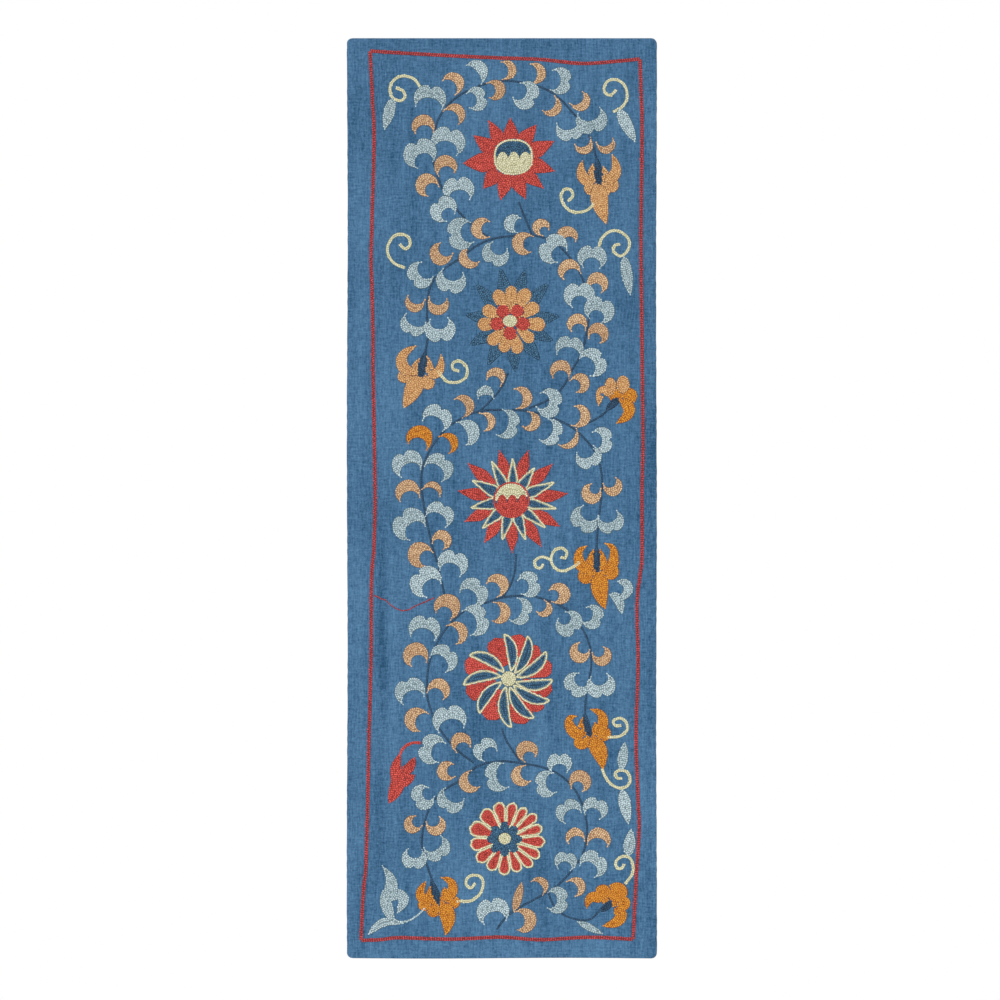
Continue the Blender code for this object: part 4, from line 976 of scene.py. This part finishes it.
# Tendrils: route from the root to the curled end, and a lance leaf as root, tip, half width
curl = dict(row=1.42, rows=2, tint=0.0, leafLonger=0.10, leafFullest=0.75)
tendrils = dict(
    tendril1=dict(
        leaf=((393, 98), (385, 127), 5.6),
        route=((420, 87), (414, 79), (403, 76), (394, 80), (390, 88), (392, 97), (400, 101),
        (405, 97), (403, 91), (396, 88)),
    ),
    tendril2=dict(
        leaf=((618.5, 109), (634, 139), 6.2),
        route=((613, 112), (622, 107), (627, 98), (625, 86), (617, 80), (608, 81), (604, 88),
        (606, 94), (611, 95), (616, 90)),
    ),
    tendril3=dict(
        route=((594, 203), (590.5, 207.5), (585, 211), (573, 212), (564, 205), (561, 196),
        (565, 189), (571, 190), (573, 196), (568, 201)),
    ),
    tendril4=dict(
        leaf=((624, 256), (630, 292), 5.6),
        route=((599, 247), (602, 238), (611, 231), (621, 232), (629, 240), (628, 250), (621, 256),
        (614, 252), (614, 246), (620, 244)),
    ),
    tendril5=dict(
        route=((405, 268), (394, 263), (388, 254), (388, 245), (394, 236), (402, 234), (409, 238),
        (410, 245), (405, 249), (400, 244)),
    ),
    tendril6=dict(
        route=((438, 370), (442.5, 377), (448, 382), (458, 382), (466, 377), (467, 368),
        (460, 361), (453, 363), (453, 369), (459, 371)),
    ),
    tendril7=dict(
        route=((580, 562), (573, 567), (563, 571), (555, 568), (551, 560), (554, 551), (561, 548),
        (567, 552), (565, 558), (561, 557)),
    ),
    tendril8=dict(
        route=((607, 737), (613, 737), (620, 736), (627, 730), (626, 722), (620, 718), (613, 721),
        (616, 726), (621, 725)),
    ),
    tendril9=dict(
        leaf=((622, 789), (628, 821), 6.2),
        route=((602, 768), (606, 778), (614, 786), (623, 788), (630, 782), (628, 773), (621, 770),
        (615, 773), (617, 778), (622, 778)),
    ),
    tendril10=dict(
        route=((456, 901), (462, 901), (470, 901), (479, 895), (483, 886), (482, 878), (476, 875),
        (468, 877), (466, 884), (471, 888), (475, 883)),
    ),
    tendril11=dict(
        leaf=((628, 856), (631, 831), 6.0),
        route=((625, 884), (632, 874), (633, 866), (630, 858), (623, 856), (616, 861), (617, 868),
        (622, 868), (624, 864)),
    ),
)


def makeTendril(name, tendril):
    motif = newMotif(name, "cream_thread")
    outlines = []
    if "leaf" in tendril:
        root, tip, half = tendril["leaf"]
        beyond = tuple(end + curl["leafLonger"] * (end - start) for start, end in zip(root, tip))
        outlines.append(bladeOutline((root, beyond), half, curl["leafFullest"]))
        fillPointed(motif, outlines[0], "paleThread")
    stitchLine(motif, tendril["route"], "creamThread", curl["row"], curl["rows"],
               curl["tint"], outlines)
    addExtras(motif)
    return finishMotif(motif)


small = dict(redBud="red_thread", cornerSpray="pale_thread", looseLeaf="pale_thread",
             lowLeaf="pale_thread")


def makeSmall(name, slot):
    motif = newMotif(name, slot)
    addExtras(motif)
    return finishMotif(motif)


# Medallions, from the middle outward. A ring of petals has tips as angle and radius, longer is
# added to the radius, and widest limits the half angle. An eye and a heart are x, y, half width
# and half height; parts of a heart are thread, tint and how much the middle stands higher
medallions = dict(
    medallion1=dict(
        slot="red_thread", centre=(510, 160),
        heart=dict(place=(513.4, 157, 19.8, 17.9), square=2.4, edge=2.1, lift=0.0003,
        lobes=((497, 531), 159.0, 151.5), ring=("creamThread", 0.5),
        upper=("navyThread", 0.2, 0.0), lower=("creamThread", 0.6, 0.0002)),
        rings=(dict(thread="redThread", pointed=True, base=15, longer=1, shoulder=0.46, blunt=0.05,
        tips=((90, 41), (53, 43), (23, 47), (-14, 45), (-40, 43), (-68, 41), (-104, 40),
        (-133, 38), (-176, 46), (-214, 43), (-242, 44))),),
    ),
    medallion2=dict(
        slot="orange_thread", centre=(511, 322), eye=(510, 321, 7.3, 6.0), eyeLift=0.0003,
        rings=(dict(thread="redThread", lift=0.0002, centre=(510, 321), base=3, longer=1.4,
        widest=31, shoulder=0.5, blunt=0.8,
        tips=((126, 18), (54, 18), (-12, 19), (-90, 18), (-168, 19))),
        dict(thread="goldThread", tint=0.3, tintSpread=0.3, base=9, longer=1, widest=15.5,
        shoulder=0.58, blunt=1.0,
        tips=((90, 36), (64, 37), (32, 32), (-5, 34), (-41, 29), (-77, 32), (-105, 31), (-135, 31),
        (-175, 33), (-207, 31), (-246, 35))),
        dict(thread="navyThread", tint=0.75, base=20, longer=1, widest=12, shoulder=0.4, blunt=0.1,
        tips=((101, 55), (75, 54), (46, 54), (7, 49), (-24, 46), (-53, 48), (-85, 50), (-118, 49),
        (-151, 47), (-189, 46), (-227, 51)))),
    ),
    medallion3=dict(
        slot="red_thread", centre=(512, 500.5),
        heart=dict(place=(511.4, 500, 18.2, 18.2), square=2.0, edge=1.4, lift=0.0003,
        lobes=((497, 528), 503.5, 494.5), ring=("redThread", 0.4),
        upper=("creamThread", 0.6, 0.0002), lower=("redThread", 0.5, 0.0002)),
        rings=(dict(thread="navyThread", tint=0.2, edging=("creamThread", 1.6), base=16, longer=1,
        shoulder=0.18, blunt=0.06,
        tips=((89, 43.5), (55.5, 41), (23, 48), (-10.5, 47), (-39, 45), (-71, 43), (-104, 42),
        (-137, 42), (-170, 43), (-207, 46), (-243, 46))),
        dict(thread="redThread", pointed=True, base=20, longer=1, widest=9.6, shoulder=0.52,
        blunt=0.05,
        tips=((104, 51), (72, 52), (42, 53.5), (7, 55), (-28.5, 53.5), (-57.5, 54), (-90, 51.5),
        (-123, 49.5), (-156, 51), (-190, 54), (-220, 57)))),
    ),
    medallion4=dict(
        slot="navy_thread", centre=(508.7, 678.7), eye=(508.7, 678.7, 7.6, 7.4), eyeLift=0.0004,
        swirl=dict(thread="navyThread", tint=0.3, edging=("creamThread", 1.65), root=6.5, longer=1,
        half=5.9, fullest=1.05, bend=16, hook=9,
        tips=((97, 45), (67, 47), (37, 46.5), (0, 44), (-27, 46.5), (-56, 47), (-86, 49),
        (-129, 45.5), (-171, 46), (-210, 46))),
        rings=(dict(thread="redThread", even=True, widest=17.5, base=14, longer=2.2, shoulder=0.66,
        blunt=1.0,
        tips=((109, 41), (75, 44), (48, 42), (18, 43.5), (-15, 43), (-41, 44), (-70, 46),
        (-118, 44), (-162, 43), (-202, 45))),),
    ),
    medallion5=dict(
        slot="red_thread", centre=(506, 839), eye=(504.8, 838.5, 6.2, 5.8), eyeLift=0.0003,
        rosette=dict(centre=(504.5, 839), radius=16.5,
        lobes=8, valley=0.7, swell=0.36, round=0.8, lift=0.0002),
        rings=(dict(thread="redThread", tint=0.5, edging=("creamThread", 1.65), base=11, longer=0,
        shoulder=0.64, blunt=1.0,
        tips=((102, 38.5), (78, 38), (58, 38), (39, 40), (18, 39), (-4, 40), (-29, 39), (-46, 39),
        (-69, 36), (-93, 37), (-118, 36), (-143, 37), (-170, 37), (-198, 39), (-233, 38))),),
    ),
)


def petalRing(centre, ring):
    # outlines of one ring; each petal reaches half way to its neighbours
    angles = [angle for angle, radius in ring["tips"]]
    widest = ring.get("widest", 180)
    outlines = []
    for index, (angle, radius) in enumerate(ring["tips"]):
        left = (angles[index - 1] - angle) % 360 / 2
        right = (angle - angles[(index + 1) % len(angles)]) % 360 / 2
        if ring.get("even"):
            left = right = (left + right) / 2
        outlines.append(petalOutline(centre, angle, ring["base"], radius + ring["longer"],
                                     min(left, widest), min(right, widest),
                                     ring["shoulder"], ring["blunt"]))
    return outlines


def stitchRing(motif, centre, ring, cuts):
    outlines = petalRing(centre, ring)
    for outline in outlines:
        tint = ring.get("tint")
        if "tintSpread" in ring:
            tint += ring["tintSpread"] * chance.uniform()
        if ring.get("pointed"):
            fillPointed(motif, outline, ring["thread"], tint, cuts, (0.5,))
        else:
            fillShape(motif, outline, ring["thread"], tint, ring.get("edging"), cuts,
                      ring.get("lift", 0.0))
    return outlines


def stitchHeart(motif, heart):
    # a ring around two parts; the lobes of the lower part rise into the upper one
    x, y, wide, high = heart["place"]
    edge, square, lift = heart["edge"], heart["square"], heart["lift"]
    (first, last), valley, top = heart["lobes"]
    outline = ovalOutline(x, y, wide, high, square)
    inner = ovalOutline(x, y, wide - edge, high - edge, square, 80)
    shares = np.linspace(0, 1, 37)
    arch = np.abs(np.sin(3 * np.pi * shares))**0.55
    waved = np.column_stack([first + (last - first) * shares, valley + (top - valley) * arch])
    waved = waved[insideOutline(waved, inner)]
    inner = inner[np.argsort(np.arctan2(inner[:, 1] - y, inner[:, 0] - x))]
    above, below = inner[inner[:, 1] < valley], inner[inner[:, 1] >= valley]
    upper = np.vstack([above[np.argsort(above[:, 0])], waved[::-1]])
    lower = np.vstack([waved, below[np.argsort(-below[:, 0])]])
    for run, closed in rowsInside(outline, edge / 2):
        stitchRun(motif, run, closed, edge, *heart["ring"], lift)
    for part, (thread, tint, crown) in ((upper, heart["upper"]), (lower, heart["lower"])):
        fillShape(motif, part, thread, tint, lift=lift, crown=crown)
    return outline


def stitchSwirl(motif, centre, swirl, above):
    # curved petals, each of them under the one before
    shares = np.linspace(0, 1, 7)
    for angle, radius in swirl["tips"]:
        bend, hook = swirl["bend"] * (1 - shares)**1.2, swirl["hook"] * (1 - shares**3)
        radii = swirl["root"] + (radius + swirl["longer"] - swirl["root"]) * shares
        route = aroundCentre(centre, radii, np.radians(angle - bend - hook))
        outline = bladeOutline(route, swirl["half"], swirl["fullest"])
        fillShape(motif, outline, swirl["thread"], swirl["tint"], swirl["edging"], above)
        above.append(outline)


def rosetteOutline(rosette):
    turn = np.linspace(0, 2 * np.pi, 96, endpoint=False)
    lobe = np.abs(np.cos(rosette["lobes"] / 2 * turn))**rosette["round"]
    radii = rosette["radius"] * (rosette["valley"] + rosette["swell"] * lobe)
    return aroundCentre(rosette["centre"], radii, turn)


def makeMedallion(name, look):
    motif = newMotif(name, look["slot"])
    above = []
    if "heart" in look:
        above.append(stitchHeart(motif, look["heart"]))
    if "eye" in look:
        above.append(ovalOutline(*look["eye"]))
        fillShape(motif, above[0], "creamThread", 0.5, lift=look["eyeLift"])
    if "swirl" in look:
        stitchSwirl(motif, look["centre"], look["swirl"], above)
    if "rosette" in look:
        rosette = rosetteOutline(look["rosette"])
        fillShape(motif, rosette, "navyThread", 0.2, cuts=above, lift=look["rosette"]["lift"])
        above.append(rosette)
    for ring in look["rings"]:
        above += stitchRing(motif, ring.get("centre", look["centre"]), ring, above)
    return finishMotif(motif)


embroidery = [makeBorder()]
embroidery += [makeBranch(*branch) for branch in branches.items()]
print("branches done")
embroidery += [makeMedallion(*medallion) for medallion in medallions.items()]
print("medallions done")
embroidery += [makeFlower(*flower) for flower in flowers.items()]
embroidery += [makeTendril(*tendril) for tendril in tendrils.items()]
embroidery += [makeSmall(*motif) for motif in small.items()]
print("small motifs done")
groundCloth = makeCloth()


# Floor and light
studio = dict(floor=-1.64, floorSize=3.0, floorBack=0.35, floorColour=(0.82, 0.82, 0.81, 1),
              floorRough=0.8, sun=2.3, sunAngle=0.45, sunFrom=(-0.55, -1.0, 0.75), world=0.62,
              backdrop=1.0)


def makeStudio():
    half = studio["floorSize"] / 2
    mesh = bpy.data.meshes.new("floor")
    mesh.from_pydata([(-half, -half, 0), (half, -half, 0), (half, half, 0), (-half, half, 0)],
                     [], [(0, 1, 2, 3)])
    plain = bpy.data.materials.new("paleFloor")
    plain.use_nodes = True
    setInputs(plain.node_tree, plain.node_tree.nodes["Principled BSDF"],
              {"Base Color": studio["floorColour"], "Roughness": studio["floorRough"]})
    mesh.materials.append(plain)
    floor = addObject("floor", mesh)
    floor.location = (0, -half + studio["floorBack"], studio["floor"])
    key = bpy.data.lights.new("key", "SUN")
    key.energy = studio["sun"]
    key.angle = studio["sunAngle"]
    towards = Vector(studio["sunFrom"]).to_track_quat("Z", "Y")
    addObject("key", key).rotation_euler = towards.to_euler()
    # a white world to the camera, and a softer one as light
    world = bpy.data.worlds.new("studio")
    world.use_nodes = True
    bpy.context.scene.world = world
    tree = world.node_tree
    make = nodeMaker(tree)
    fill, seen = (make("ShaderNodeBackground", Color=(1, 1, 1, 1), Strength=studio[name])
                  for name in ("world", "backdrop"))
    mix = make("ShaderNodeMixShader", i0=make("ShaderNodeLightPath").outputs["Is Camera Ray"],
               i1=fill.outputs[0], i2=seen.outputs[0])
    tree.links.new(mix.outputs[0], tree.nodes["World Output"].inputs["Surface"])
    bpy.context.scene.view_settings.view_transform = "Standard"


makeStudio()
